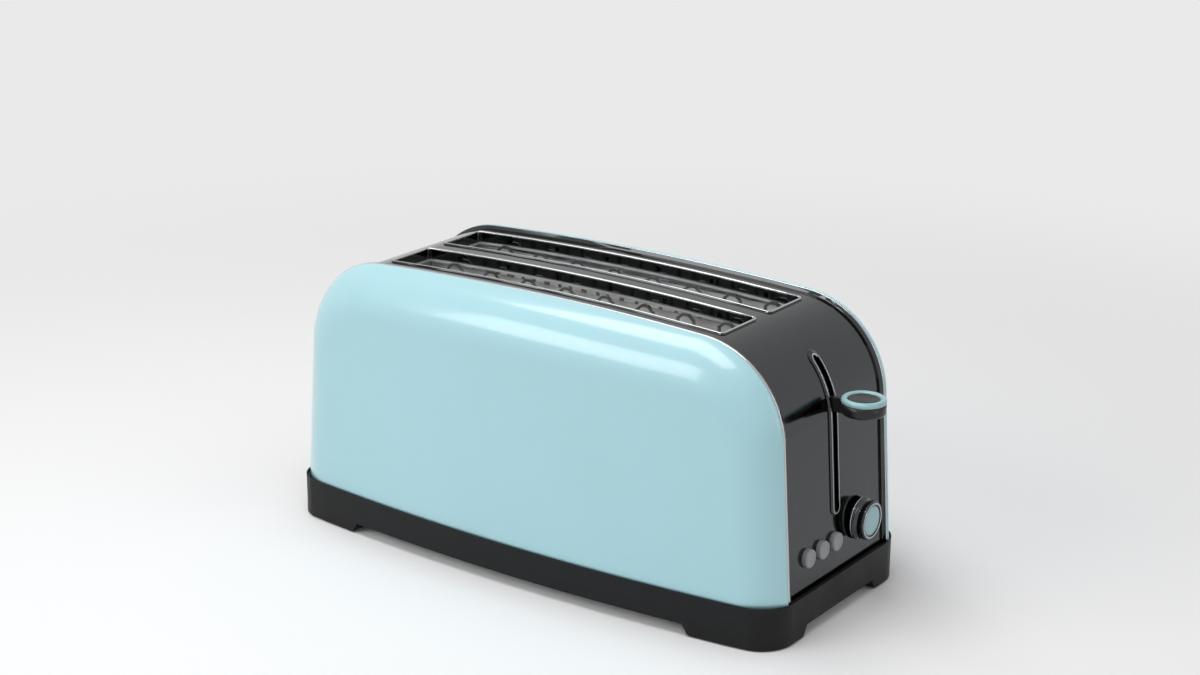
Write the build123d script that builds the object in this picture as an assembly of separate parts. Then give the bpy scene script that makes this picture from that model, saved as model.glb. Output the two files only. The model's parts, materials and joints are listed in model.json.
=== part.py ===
from build123d import *
from math import cos, radians, sin, sqrt, tan
import os

os.makedirs("parts", exist_ok=True)

# All sizes are in millimetres and all angles in degrees.
# X runs along the slots, +X is the control end, +Z is up and the table is at zero height.

# Bread slots and the room round them
SLOT_HALF_LENGTH = 129.0
SLOT_WIDTH = 39.0
CENTRE_BAR = 15.0
SLOT_CORNER = 3.0
FRAME_MARGIN = 4.0
CONTROL_ROOM = 57.0

# Body outline, seen from the long side
END_DRAFT = 4.2
SHOULDER_RADIUS = 61.5
CROWN_RADIUS = 2255.0
CROWN_OVER_LEVER = 23.3

# Base and feet
BASE_STEP_X = 4.0
BASE_STEP_Y = 2.0
BASE_TOP = 32.6
BASE_UNDERSIDE = 7.6
BASE_WALL = 2.5
BASE_CORNER_RADIUS = 21.0
BASE_SIDE_TAPER = 6.5
BASE_END_TAPER = 1.0
BASE_LIP_HEIGHT = 1.2
BASE_LIP_WIDTH = 1.6
SIDE_BOW_RADIUS = 1200.0
FOOT_UNDERSIDE = 1.0
FOOT_LENGTH = 59.0
FOOT_DEPTH = 56.0
FOOT_SLOPE = 5.0
PAD_RADIUS = 8.0
PAD_HEIGHT = 3.0
PAD_FROM_END = 24.0
PAD_FROM_SIDE = 33.0
PAD_GAP = 0.1
PAD_EDGE = 0.6
OPENING_MARGIN_X = 3.0
OPENING_MARGIN_Y = 2.0
BOTTOM_PLATE_THICKNESS = 1.0
BOTTOM_PLATE_GAP = 0.3
VENT_LENGTH = 22.0
VENT_WIDTH = 4.0
VENT_PITCH = 10.0
VENT_COUNT = 7
VENT_FROM_END = 34.0
BOSS_FROM_END = 46.0
BOSS_FROM_TRAY = 9.0
BOSS_RADIUS = 5.0
SCREW_RADIUS = 1.5
SCREW_HEAD_RADIUS = 3.0
SCREW_HEAD_HEIGHT = 1.8
SCREW_GAP = 0.1
BASE_SCREW_LENGTH = 22.0
BASE_SCREW_SINK = 1.5

# Painted side panels
PANEL_DEPTH = 38.0
PANEL_THICKNESS = 1.0
PANEL_ROUND = 25.0
PANEL_FLANGE = 5.0
PANEL_SEAM_GAP = 0.7

# Bright band round the ends and the top
BAND_MARGIN = 3.3
BAND_INSET = 2.5
BAND_THICKNESS = 1.2
BEAD_WIDTH = 2.0
BEAD_INSET = 0.3
ROLL_HEIGHT = 0.9
COLLAR_DEPTH = 6.5
COLLAR_THICKNESS = 1.0
WINDOW_SIZE = 3.0
WINDOW_PITCH = 41.0
WINDOW_COUNT = 6
WINDOW_DROP = 4.0

# Galvanised inner frame
SHEET = 1.0
FRAME_MARGIN_Y = 5.0
FRAME_FLANGE = 10.0
TOP_FRAME_GAP = 0.3
TOP_FRAME_OVERHANG = 6.0
LEDGE = 2.0
SHIELD_GAP = 0.2
SHIELD_RIB_COUNT = 6
SHIELD_RIB_PITCH = 38.0
SHIELD_RIB_WIDTH = 8.0
SHIELD_RIB_DEPTH = 2.0

# Heater boards and ribbons
BOARD_THICKNESS = 1.0
BOARD_RAISE = 17.4
BOARD_UNDER_CROWN = 16.3
BOARD_BEHIND_SLOT = 5.5
BOARD_GAP = 0.2
RIBBON_WIDTH = 1.6
RIBBON_THICKNESS = 0.4
RIBBON_ROWS = 9
RIBBON_PITCH = 12.5
RIBBON_RAISE = 8.0
RIBBON_END_MARGIN = 15.0

# Wire guards that centre the bread
GUARD_IN_SLOT = 5.5
GUARD_WIRE = 1.6
GUARD_RAISE = 11.4
GUARD_UNDER_CROWN = 10.3
GUARD_ARCHES = 8
GUARD_PITCH = 30.5
GUARD_SHIFT = 5.0
GUARD_ARCH_WIDTH = 12.0
GUARD_ARCH_RISE = 4.0
GUARD_RAIL_RISE = 66.0
HINGE_CLEARANCE = 0.06

# Bread carriage
CARRIAGE_LOW = 10.4
CARRIAGE_DROP = 62.0
CARRIAGE_LIFT = 15.0
LIFTER_WIDTH = 13.0
LIFTER_THICKNESS = 1.2
LIFTER_WEB_HEIGHT = 7.0
LIFTER_WEB_THICKNESS = 1.5
LIFTER_END_GAP = 2.0
LIFTER_NOTCH_COUNT = 10
LIFTER_NOTCH_PITCH = 24.0
LIFTER_NOTCH_LENGTH = 6.0
LIFTER_NOTCH_DEPTH = 2.5
LIFTER_TAIL = 6.0
LIFTER_SLOT_GAP = 1.0
CARRIAGE_STANDOFF = 14.0
CARRIAGE_PLATE_MARGIN = 6.0
CARRIAGE_PLATE_THICKNESS = 1.5
CARRIAGE_ARM_WIDTH = 16.0
POST_RADIUS = 2.5
POST_Y = 21.0
POST_CLEARANCE = 0.06
GUIDE_LENGTH = 20.0
GUIDE_WIDTH = 11.0
GUIDE_CHAMFER = 1.0
SPRING_RADIUS = 4.0
SPRING_WIRE = 0.9
SPRING_TURNS = 8
SPRING_GAP = 0.2
BRACKET_THICKNESS = 2.0
BRACKET_UNDER_SLOT_TOP = 4.0
BRACKET_SIDE_MARGIN = 9.0

# Hold-down magnet
MAGNET_LENGTH = 10.0
MAGNET_WIDTH = 20.0
MAGNET_LEG = 4.0
MAGNET_GAP = 0.4
KEEPER_THICKNESS = 2.0
KEEPER_WIDTH = 18.0
KEEPER_RAISE = 9.0

# Lever
ARM_THICKNESS = 3.0
ARM_RISE = 26.0
ARM_HEIGHT = 12.0
LEVER_SLOT_SPARE_LOW = 2.4
LEVER_SLOT_SPARE_HIGH = 6.0
LEVER_SLOT_WIDTH = 5.0
LEVER_RIM_WIDTH = 2.2
LEVER_RIM_HEIGHT = 1.2
LEVER_KNOB_OUT = 11.0
LEVER_KNOB_RADIUS = 13.8
LEVER_KNOB_OVER_ARM = 2.5
LEVER_KNOB_HEIGHT = 7.6
LEVER_RING_INNER = 9.7
LEVER_RING_HEIGHT = 3.0
LEVER_RING_ROUND = 1.2
LEVER_DISH_DEPTH = 1.0

# Browning knob
DIAL_Y = 27.0
DIAL_RISE = 21.4
DIAL_RADIUS = 13.5
DIAL_NECK_RADIUS = 11.6
DIAL_FACE_RADIUS = 12.4
DIAL_LENGTH = 9.4
DIAL_GAP = 0.5
DIAL_RIM = 2.2
DIAL_SKIRT = 2.0
DIAL_CAP_RADIUS = 9.6
DIAL_CAP_THICKNESS = 1.5
DIAL_CAP_RAISE = 0.4
DIAL_MARK_WIDTH = 1.2
DIAL_SHAFT_RADIUS = 3.0
DIAL_HOLE_RADIUS = 4.0
DIAL_TURN_CLEARANCE = 0.06
DIAL_BITE = 5.0

# Push buttons
BUTTON_RISE = 15.4
BUTTON_FIRST_Y = -35.0
BUTTON_PITCH = 16.4
BUTTON_RADIUS = 5.9
BUTTON_RIM = 0.9
BUTTON_GAP = 0.3
BUTTON_PROUD = 3.4
BUTTON_TRAVEL = 2.5
BUTTON_BODY = 10.0
BUTTON_ROUND = 0.8
PLUNGER_RADIUS = 1.6
PLUNGER_CLEARANCE = 0.1
BUTTON_NAMES = ("defrost_button", "reheat_button", "cancel_button")
SWITCH_NAMES = ("defrost_switch", "reheat_switch", "cancel_switch")

# Control board and what it carries
CONTROL_BOARD_SETBACK = 30.0
CONTROL_BOARD_THICKNESS = 1.6
CONTROL_BOARD_HALF_WIDTH = 48.0
CONTROL_BOARD_HEIGHT = 31.4
SWITCH_SIZE = 11.0
SWITCH_DEPTH = 6.0
POT_RADIUS = 8.0
POT_DEPTH = 8.0
POT_LUG_WIDTH = 9.0
POT_LUG_HEIGHT = 6.0
POT_LUG_THICKNESS = 2.0

# Mains entry
MAINS_FROM_END = 34.0
MAINS_Z = 20.0
GLAND_RADIUS = 6.0
GLAND_BORE = 3.6
GLAND_FLANGE_RADIUS = 8.5
GLAND_FLANGE_THICKNESS = 2.0
GLAND_LENGTH = 16.0
TERMINAL_LENGTH = 11.0
TERMINAL_WIDTH = 23.0
TERMINAL_HEIGHT = 14.0
TERMINAL_Y = 44.5
TERMINAL_FROM_FRAME = 17.0
TERMINAL_WAYS = 3
TERMINAL_PITCH = 7.0
TERMINAL_HOLE_RADIUS = 1.8
CONTACT_LENGTH = 9.0
CONTACT_WIDTH = 14.0
CONTACT_HEIGHT = 16.0
CONTACT_Y = -44.0
LEAF_THICKNESS = 0.6
LEAF_WIDTH = 4.0
LEAF_LENGTH = 12.0
LEAF_SPACING = 5.0

# Crumb tray
TRAY_MARGIN = 4.0
TRAY_RAISE = 3.8
TRAY_WALL_HEIGHT = 9.0
TRAY_THICKNESS = 1.0
TRAY_RUN_GAP = 0.3
TRAY_SHORT = 7.0
TRAY_FRONT_MARGIN = 4.0
TRAY_FRONT_HEIGHT = 18.0
TRAY_FRONT_GAP = 0.5
TRAY_GRIP_REACH = 5.0
TRAY_GRIP_HEIGHT = 3.0
TRAY_GRIP_HALF_WIDTH = 30.0
TRAY_GRIP_ROUND = 3.8
RAIL_WIDTH = 6.0
RAIL_LIP = 4.0
RAIL_LIP_HEIGHT = 5.0
RAIL_START = 12.5

# Places worked out across the toaster, from the slots outwards
SLOT_Y = (CENTRE_BAR + SLOT_WIDTH) / 2.0
SLOT_OUTER_Y = SLOT_Y + SLOT_WIDTH / 2.0
GUARD_OUTER_Y = SLOT_OUTER_Y - GUARD_IN_SLOT
GUARD_INNER_Y = CENTRE_BAR / 2.0 + GUARD_IN_SLOT
BOARD_Y = SLOT_OUTER_Y + BOARD_BEHIND_SLOT
FRAME_PLATE_HALF_WIDTH = BOARD_Y + FRAME_MARGIN_Y
BAND_HALF_WIDTH = FRAME_PLATE_HALF_WIDTH + BAND_MARGIN
PANEL_SEAM_Y = BAND_HALF_WIDTH + PANEL_SEAM_GAP
PANEL_HALF_DEPTH = PANEL_SEAM_Y + PANEL_DEPTH
BASE_HALF_DEPTH = PANEL_HALF_DEPTH + BASE_STEP_Y
CHAMBER_OPENING_Y = FRAME_PLATE_HALF_WIDTH - OPENING_MARGIN_Y
TRAY_HALF_WIDTH = FRAME_PLATE_HALF_WIDTH - TRAY_MARGIN
TRAY_FRONT_HALF_WIDTH = TRAY_HALF_WIDTH + TRAY_FRONT_MARGIN
CARRIAGE_PLATE_HALF_WIDTH = SLOT_Y + CARRIAGE_PLATE_MARGIN
BRACKET_HALF_WIDTH = POST_Y + BRACKET_SIDE_MARGIN
BOSS_Y = TRAY_HALF_WIDTH + BOSS_FROM_TRAY
PAD_Y = BASE_HALF_DEPTH - PAD_FROM_SIDE
FOOT_INNER_Y = BASE_HALF_DEPTH - FOOT_DEPTH

# Places worked out along the toaster, from the slots outwards
FRAME_PLATE_X = SLOT_HALF_LENGTH + FRAME_MARGIN
BODY_HALF_LENGTH = FRAME_PLATE_X + CONTROL_ROOM
BASE_HALF_LENGTH = BODY_HALF_LENGTH + BASE_STEP_X
TOP_FRAME_HALF_LENGTH = FRAME_PLATE_X + TOP_FRAME_OVERHANG
CHAMBER_OPENING_X = FRAME_PLATE_X - OPENING_MARGIN_X
CARRIAGE_PLATE_X = FRAME_PLATE_X + CARRIAGE_STANDOFF
CONTROL_BOARD_X = BODY_HALF_LENGTH - CONTROL_BOARD_SETBACK
LEVER_KNOB_X = BODY_HALF_LENGTH + LEVER_KNOB_OUT
RIBBON_HALF_LENGTH = FRAME_PLATE_X - RIBBON_END_MARGIN
TERMINAL_X = FRAME_PLATE_X + TERMINAL_FROM_FRAME
MAINS_X = BASE_HALF_LENGTH - MAINS_FROM_END
VENT_ROW_X = BASE_HALF_LENGTH - VENT_FROM_END
FOOT_INNER_X = BASE_HALF_LENGTH - FOOT_LENGTH
PAD_X = BASE_HALF_LENGTH - PAD_FROM_END
BOSS_X = BASE_HALF_LENGTH - BOSS_FROM_END
TRAY_FAR_X = FRAME_PLATE_X - TRAY_SHORT
TRAY_REACH = BASE_HALF_LENGTH + TRAY_GRIP_REACH
LEVER_REACH = LEVER_KNOB_X + LEVER_KNOB_RADIUS
FRAME_SHIFT = (LEVER_REACH - TRAY_REACH) / 2.0

# Heights worked out from the carriage's travel, from the deck upwards
BASE_FLOOR = BASE_UNDERSIDE + BOTTOM_PLATE_THICKNESS
TRAY_FLOOR_Z = BASE_FLOOR + TRAY_RAISE
CARRIAGE_REST_Z = BASE_TOP + CARRIAGE_LOW + CARRIAGE_DROP
ARM_BOTTOM = CARRIAGE_REST_Z + ARM_RISE
LEVER_SLOT_BOTTOM = ARM_BOTTOM - CARRIAGE_DROP - LEVER_SLOT_SPARE_LOW
LEVER_SLOT_TOP = ARM_BOTTOM + ARM_HEIGHT + CARRIAGE_LIFT + LEVER_SLOT_SPARE_HIGH
LEVER_KNOB_BOTTOM = ARM_BOTTOM + LEVER_KNOB_OVER_ARM
BODY_HEIGHT = LEVER_SLOT_TOP + CROWN_OVER_LEVER
BRACKET_Z = LEVER_SLOT_TOP - BRACKET_UNDER_SLOT_TOP
BOARD_BOTTOM = BASE_TOP + BOARD_RAISE
BOARD_TOP = BODY_HEIGHT - BOARD_UNDER_CROWN
RIBBON_BOTTOM = BOARD_BOTTOM + RIBBON_RAISE
GUARD_HINGE_Z = BASE_TOP + GUARD_RAISE
GUARD_TOP = BODY_HEIGHT - GUARD_UNDER_CROWN
GUARD_RAIL_Z = GUARD_HINGE_Z + GUARD_RAIL_RISE
DIAL_Z = BASE_TOP + DIAL_RISE
BUTTON_Z = BASE_TOP + BUTTON_RISE
CONTROL_BOARD_TOP = BASE_TOP + CONTROL_BOARD_HEIGHT
TOP_FRAME_INSET = BAND_INSET + COLLAR_DEPTH + TOP_FRAME_GAP
UNDER_TOP_FRAME = TOP_FRAME_INSET + SHEET
FAR = 400.0


def save(name, shape):
    """Write one named piece, with the origin under the middle of the whole toaster."""
    piece = Location((-FRAME_SHIFT, 0, 0)) * shape
    solids = piece.solids()
    piece = solids[0] if len(solids) == 1 else Compound(children=list(solids))
    piece.label = name
    export_step(piece, os.path.join("parts", name + ".step"))


def block(x0, x1, y0, y1, z0, z1):
    """Box between two corners."""
    size = Box(x1 - x0, y1 - y0, z1 - z0)
    return Location(((x0 + x1) / 2, (y0 + y1) / 2, (z0 + z1) / 2)) * size


def rod_x(radius, x0, x1, y, z):
    """Round bar along X."""
    bar = Cylinder(radius, x1 - x0)
    return Location(((x0 + x1) / 2, y, z), (0, 90, 0)) * bar


def rod_y(radius, x, y0, y1, z):
    """Round bar along Y."""
    bar = Cylinder(radius, y1 - y0)
    return Location((x, (y0 + y1) / 2, z), (90, 0, 0)) * bar


def rod_z(radius, x, y, z0, z1):
    """Round bar along Z."""
    bar = Cylinder(radius, z1 - z0)
    return Location((x, y, (z0 + z1) / 2)) * bar


def join(pieces):
    """Fuse a list of overlapping or touching shapes."""
    first = pieces[0]
    rest = pieces[1:]
    return first.fuse(*rest) if rest else first


def flip_y(shape):
    """Mirror a shape to the other long side."""
    return mirror(shape, about=Plane.XZ)


def shoulder_centre():
    """Centre of the round at the +X top corner, tangent to the end line and to the crown."""
    draft = radians(END_DRAFT)
    end_distance = BODY_HALF_LENGTH * cos(draft) + BASE_TOP * sin(draft)
    start = Vector(cos(draft), sin(draft)) * (end_distance - SHOULDER_RADIUS)
    along = Vector(-sin(draft), cos(draft))
    crown_centre = Vector(0, BODY_HEIGHT - CROWN_RADIUS)
    gap = start - crown_centre
    half_b = gap.dot(along)
    c = gap.dot(gap) - (CROWN_RADIUS - SHOULDER_RADIUS) ** 2
    return start + along * (sqrt(half_b ** 2 - c) - half_b)


def body_outline(inset, floor):
    """Side view of the body, moved inward by inset and cut off level at floor."""
    draft = radians(END_DRAFT)
    centre = shoulder_centre()
    radius = SHOULDER_RADIUS - inset
    outward = Vector(cos(draft), sin(draft))
    crown_centre = Vector(0, BODY_HEIGHT - CROWN_RADIUS)
    up = (centre - crown_centre).normalized()
    side = centre + outward * radius
    crown_end = centre + up * radius
    middle = centre + (outward + up).normalized() * radius
    foot_x = side.X + (side.Y - floor) * tan(draft)
    crest = BODY_HEIGHT - inset
    right = [(foot_x, floor), (side.X, side.Y), (middle.X, middle.Y), (crown_end.X, crown_end.Y)]
    a, b, c, d = [Vector(x, 0, z) for x, z in right]
    a2, b2, c2, d2 = [Vector(-x, 0, z) for x, z in right]
    edges = [
        Line(a2, a),
        Line(a, b),
        ThreePointArc(b, c, d),
        ThreePointArc(d, Vector(0, 0, crest), d2),
        ThreePointArc(d2, c2, b2),
        Line(b2, a2),
    ]
    return make_face(edges)


def body_block(inset, floor, y0, y1):
    """Body outline as a block between two planes across the toaster."""
    face = Location((0, y0, 0)) * body_outline(inset, floor)
    return extrude(face, amount=y1 - y0, dir=(0, 1, 0))


def crown_height(x, inset):
    """Height of the crown above the table at a place along the toaster."""
    radius = CROWN_RADIUS - inset
    return BODY_HEIGHT - CROWN_RADIUS + sqrt(radius ** 2 - x ** 2)


def end_surface_x(z, inset):
    """X of the straight part of the control end at a height."""
    draft = radians(END_DRAFT)
    return BODY_HALF_LENGTH - (z - BASE_TOP) * tan(draft) - inset / cos(draft)


def plan_face(half_length, half_depth, corner, z):
    """Plan outline with bowed long sides and round corners."""
    radius = SIDE_BOW_RADIUS - (BASE_HALF_DEPTH - half_depth)
    edge_y = half_depth - radius + sqrt(radius ** 2 - half_length ** 2)
    edges = [
        ThreePointArc((-half_length, -edge_y, z), (0, -half_depth, z), (half_length, -edge_y, z)),
        Line((half_length, -edge_y, z), (half_length, edge_y, z)),
        ThreePointArc((half_length, edge_y, z), (0, half_depth, z), (-half_length, edge_y, z)),
        Line((-half_length, edge_y, z), (-half_length, -edge_y, z)),
    ]
    face = make_face(edges)
    return fillet(face.vertices(), corner)


def base_section(z, inset):
    """Base plan at a height, narrowing towards the table."""
    share = (BASE_TOP - z) / (BASE_TOP - FOOT_UNDERSIDE)
    half_length = BASE_HALF_LENGTH - BASE_END_TAPER * share - inset
    half_depth = BASE_HALF_DEPTH - BASE_SIDE_TAPER * share - inset
    return plan_face(half_length, half_depth, BASE_CORNER_RADIUS - inset, z)


def base_block(z0, z1, inset):
    """Tapered base block between two heights."""
    return loft([base_section(z0, inset), base_section(z1, inset)])


def foot_gap():
    """Space cut out between the corner feet, with sloping foot ends."""
    low = 0.0
    top_x = FOOT_INNER_X - FOOT_SLOPE
    along = Polyline((-FOOT_INNER_X, 0, low), (FOOT_INNER_X, 0, low), (top_x, 0, BASE_UNDERSIDE),
                     (-top_x, 0, BASE_UNDERSIDE), close=True)
    long_cut = extrude(make_face(along), amount=FAR / 2, dir=(0, 1, 0), both=True)
    top_y = FOOT_INNER_Y - FOOT_SLOPE
    across = Polyline((0, -FOOT_INNER_Y, low), (0, FOOT_INNER_Y, low), (0, top_y, BASE_UNDERSIDE),
                      (0, -top_y, BASE_UNDERSIDE), close=True)
    end_cut = extrude(make_face(across), amount=FAR, dir=(1, 0, 0), both=True)
    return [long_cut, end_cut]


def corners(x, y):
    """Four places mirrored about both centre lines."""
    return [(sx * x, sy * y) for sx in (-1, 1) for sy in (-1, 1)]


def base_housing():
    """Black moulded base: walls, deck, lip, screw bosses and four corner feet."""
    body = base_block(FOOT_UNDERSIDE, BASE_TOP, 0.0)
    rim = base_block(BASE_TOP, BASE_TOP + BASE_LIP_HEIGHT, 0.0)
    rim = rim - base_block(BASE_TOP, BASE_TOP + BASE_LIP_HEIGHT, BASE_LIP_WIDTH)
    body = body + rim
    body = body - base_block(BASE_UNDERSIDE, BASE_TOP - BASE_WALL, BASE_WALL)
    for cut in foot_gap():
        body = body - cut
    deck_hole = block(-CHAMBER_OPENING_X, CHAMBER_OPENING_X, -CHAMBER_OPENING_Y, CHAMBER_OPENING_Y,
                      BASE_FLOOR, BASE_TOP + BASE_LIP_HEIGHT)
    body = body - deck_hole
    half = TRAY_FRONT_HALF_WIDTH
    low = tray_front_low()
    door = block(-BASE_HALF_LENGTH - BASE_WALL, -BASE_HALF_LENGTH + RAIL_START, -half, half,
                 low, low + TRAY_FRONT_HEIGHT)
    body = body - door
    for x, y in corners(BOSS_X, BOSS_Y):
        body = body + rod_z(BOSS_RADIUS, x, y, BASE_FLOOR, BASE_TOP - BASE_WALL)
    for x, y in corners(BOSS_X, BOSS_Y):
        body = body - rod_z(SCREW_RADIUS + SCREW_GAP, x, y, FOOT_UNDERSIDE, screw_tip() + SCREW_GAP)
        body = body - rod_z(SCREW_HEAD_RADIUS + SCREW_GAP, x, y, 0, screw_seat())
    for x, y in corners(PAD_X, PAD_Y):
        body = body - rod_z(PAD_RADIUS + PAD_GAP, x, y, 0, PAD_HEIGHT)
    body = body - rod_y(GLAND_RADIUS, MAINS_X, 0, FAR, MAINS_Z)
    body = body - rod_z(GLAND_RADIUS, MAINS_X, TERMINAL_Y, BASE_FLOOR, BASE_TOP)
    return body


def screw_seat():
    """Height of the shoulder that a base screw's head pulls against."""
    return FOOT_UNDERSIDE + BASE_SCREW_SINK + SCREW_HEAD_HEIGHT


def screw_tip():
    """Height of the tip of a base screw."""
    return screw_seat() + BASE_SCREW_LENGTH


def base_screws():
    """Four screws up through the feet."""
    screws = []
    for x, y in corners(BOSS_X, BOSS_Y):
        head = rod_z(SCREW_HEAD_RADIUS, x, y, screw_seat() - SCREW_HEAD_HEIGHT, screw_seat())
        shank = rod_z(SCREW_RADIUS, x, y, screw_seat(), screw_tip())
        screws.append(head + shank)
    return Compound(children=screws)


def rubber_pad(x, y):
    """Round rubber pad let into the sole of a foot."""
    pad = rod_z(PAD_RADIUS, x, y, 0, PAD_HEIGHT)
    return chamfer(pad.edges().sort_by(Axis.Z)[0], PAD_EDGE)


def bottom_plate():
    """Sheet that closes the base from below, with two rows of vents."""
    inset = BASE_WALL + BOTTOM_PLATE_GAP
    plate = base_block(BASE_UNDERSIDE, BASE_FLOOR, inset)
    for side in (-1, 1):
        for i in range(VENT_COUNT):
            y = (i - (VENT_COUNT - 1) / 2) * VENT_PITCH
            x = side * (VENT_ROW_X)
            plate = plate - block(x - VENT_LENGTH / 2, x + VENT_LENGTH / 2, y - VENT_WIDTH / 2,
                                  y + VENT_WIDTH / 2, BASE_UNDERSIDE, BASE_FLOOR)
    for x, y in corners(BOSS_X, BOSS_Y):
        plate = plate - rod_z(SCREW_RADIUS + SCREW_GAP, x, y, BASE_UNDERSIDE, BASE_FLOOR)
    return plate


def tray_front_low():
    """Height of the lower edge of the opening that the crumb tray's front fills."""
    return BASE_FLOOR + TRAY_FRONT_GAP


def tray_rails():
    """Two runners on the bottom plate that carry and guide the crumb tray."""
    x0 = -BASE_HALF_LENGTH + RAIL_START
    x1 = TRAY_FAR_X
    inner = TRAY_HALF_WIDTH - RAIL_LIP
    wall = TRAY_HALF_WIDTH + TRAY_RUN_GAP
    outer = wall + RAIL_WIDTH - RAIL_LIP
    seat = block(x0, x1, inner, outer, BASE_FLOOR, TRAY_FLOOR_Z - TRAY_RUN_GAP)
    guide = block(x0, x1, wall, outer, TRAY_FLOOR_Z - TRAY_RUN_GAP, TRAY_FLOOR_Z + RAIL_LIP_HEIGHT)
    rail = seat + guide
    return Compound(children=[rail.solid(), flip_y(rail).solid()])


def crumb_tray():
    """Shallow sheet tray under the toasting chamber."""
    x0 = -BASE_HALF_LENGTH + BASE_WALL
    x1 = TRAY_FAR_X
    top = TRAY_FLOOR_Z + TRAY_WALL_HEIGHT
    outer = block(x0, x1, -TRAY_HALF_WIDTH, TRAY_HALF_WIDTH, TRAY_FLOOR_Z, top)
    outer = fillet(outer.edges().filter_by(Axis.Z), SLOT_CORNER)
    inner = block(x0 + TRAY_THICKNESS, x1 - TRAY_THICKNESS, -TRAY_HALF_WIDTH + TRAY_THICKNESS,
                  TRAY_HALF_WIDTH - TRAY_THICKNESS, TRAY_FLOOR_Z + TRAY_THICKNESS, top)
    inner = fillet(inner.edges().filter_by(Axis.Z), SLOT_CORNER - TRAY_THICKNESS)
    return outer - inner


def crumb_tray_front():
    """Moulded front of the crumb tray, flush in the base's end wall, with a finger grip."""
    half = TRAY_FRONT_HALF_WIDTH - TRAY_FRONT_GAP
    low = tray_front_low() + TRAY_FRONT_GAP
    high = tray_front_low() + TRAY_FRONT_HEIGHT - TRAY_FRONT_GAP
    x0 = -BASE_HALF_LENGTH
    plate = block(x0, x0 + BASE_WALL, -half, half, low, high)
    grip_z = (low + high) / 2
    grip = block(x0 - TRAY_GRIP_REACH, x0, -TRAY_GRIP_HALF_WIDTH, TRAY_GRIP_HALF_WIDTH,
                 grip_z, grip_z + TRAY_GRIP_HEIGHT)
    outer = grip.edges().filter_by(Axis.Z).sort_by(Axis.X)[:2]
    grip = fillet(outer, TRAY_GRIP_ROUND)
    return plate + grip


def side_form(inset, y_start):
    """Bowed and rounded outer form of the front panel, moved inward by inset."""
    form = body_block(inset, BASE_TOP, -FAR / 2, -y_start)
    radius = SIDE_BOW_RADIUS - (BASE_HALF_DEPTH - PANEL_HALF_DEPTH) - inset
    drum = rod_z(radius, 0, radius - PANEL_HALF_DEPTH + inset, 0, FAR)
    form = form & drum
    face = form.faces().sort_by(Axis.Y)[0]
    rim = face.edges().sort_by(Axis.Z)[1:]
    return fillet(rim, panel_round() - inset)


def panel_round():
    """Round of the panel's edges, no deeper than its shallowest end leaves room for."""
    radius = SIDE_BOW_RADIUS - BASE_STEP_Y
    end_depth = PANEL_DEPTH - radius + sqrt(radius ** 2 - (BODY_HALF_LENGTH - PANEL_ROUND) ** 2)
    return min(PANEL_ROUND, end_depth - PANEL_THICKNESS)


def front_side_panel():
    """Pressed and painted side panel with a turned-in edge all round."""
    skin = side_form(0.0, PANEL_SEAM_Y) - side_form(PANEL_THICKNESS, PANEL_SEAM_Y)
    flange = body_block(0.0, BASE_TOP, -PANEL_SEAM_Y - PANEL_THICKNESS, -PANEL_SEAM_Y)
    flange = flange - body_block(PANEL_FLANGE, BASE_TOP, -FAR / 2, FAR / 2)
    return skin + flange


def slot_ring(outer_gap, inner_gap, y):
    """Plan ring round one bread slot, as a tall prism."""
    outer = Rectangle(2 * (SLOT_HALF_LENGTH + outer_gap), SLOT_WIDTH + 2 * outer_gap)
    outer = fillet(outer.vertices(), SLOT_CORNER + outer_gap)
    ring = Location((0, y, 0)) * outer
    if inner_gap is not None:
        inner = Rectangle(2 * (SLOT_HALF_LENGTH + inner_gap), SLOT_WIDTH + 2 * inner_gap)
        inner = fillet(inner.vertices(), SLOT_CORNER + inner_gap)
        ring = ring - Location((0, y, 0)) * inner
    return extrude(ring, amount=FAR)


def slot_collar(y):
    """Rolled rim and turned-down collar of one slot, following the crown, with small windows."""
    ring = slot_ring(COLLAR_THICKNESS, 0.0, y)
    top = BAND_INSET - ROLL_HEIGHT
    low = BAND_INSET + COLLAR_DEPTH
    wrap = body_block(top, BASE_TOP, -FAR / 2, FAR / 2) - body_block(low, BASE_TOP, -FAR, FAR)
    collar = ring & wrap
    for i in range(WINDOW_COUNT):
        x = (i - (WINDOW_COUNT - 1) / 2) * WINDOW_PITCH
        z = crown_height(x, BAND_INSET) - WINDOW_DROP
        half = WINDOW_SIZE / 2
        collar = collar - block(x - half, x + half, y - SLOT_WIDTH, y + SLOT_WIDTH, z - half, z + half)
    return collar


def lever_slot(widen, x0, x1):
    """Tall round-ended slot prism through the control end."""
    width = LEVER_SLOT_WIDTH + 2 * widen
    height = LEVER_SLOT_TOP - LEVER_SLOT_BOTTOM + 2 * widen
    middle = (LEVER_SLOT_TOP + LEVER_SLOT_BOTTOM) / 2
    profile = Plane.YZ * SlotOverall(height, width, rotation=90)
    prism = extrude(profile, amount=x1 - x0, dir=(1, 0, 0))
    return Location((x0, 0, middle)) * prism


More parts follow.
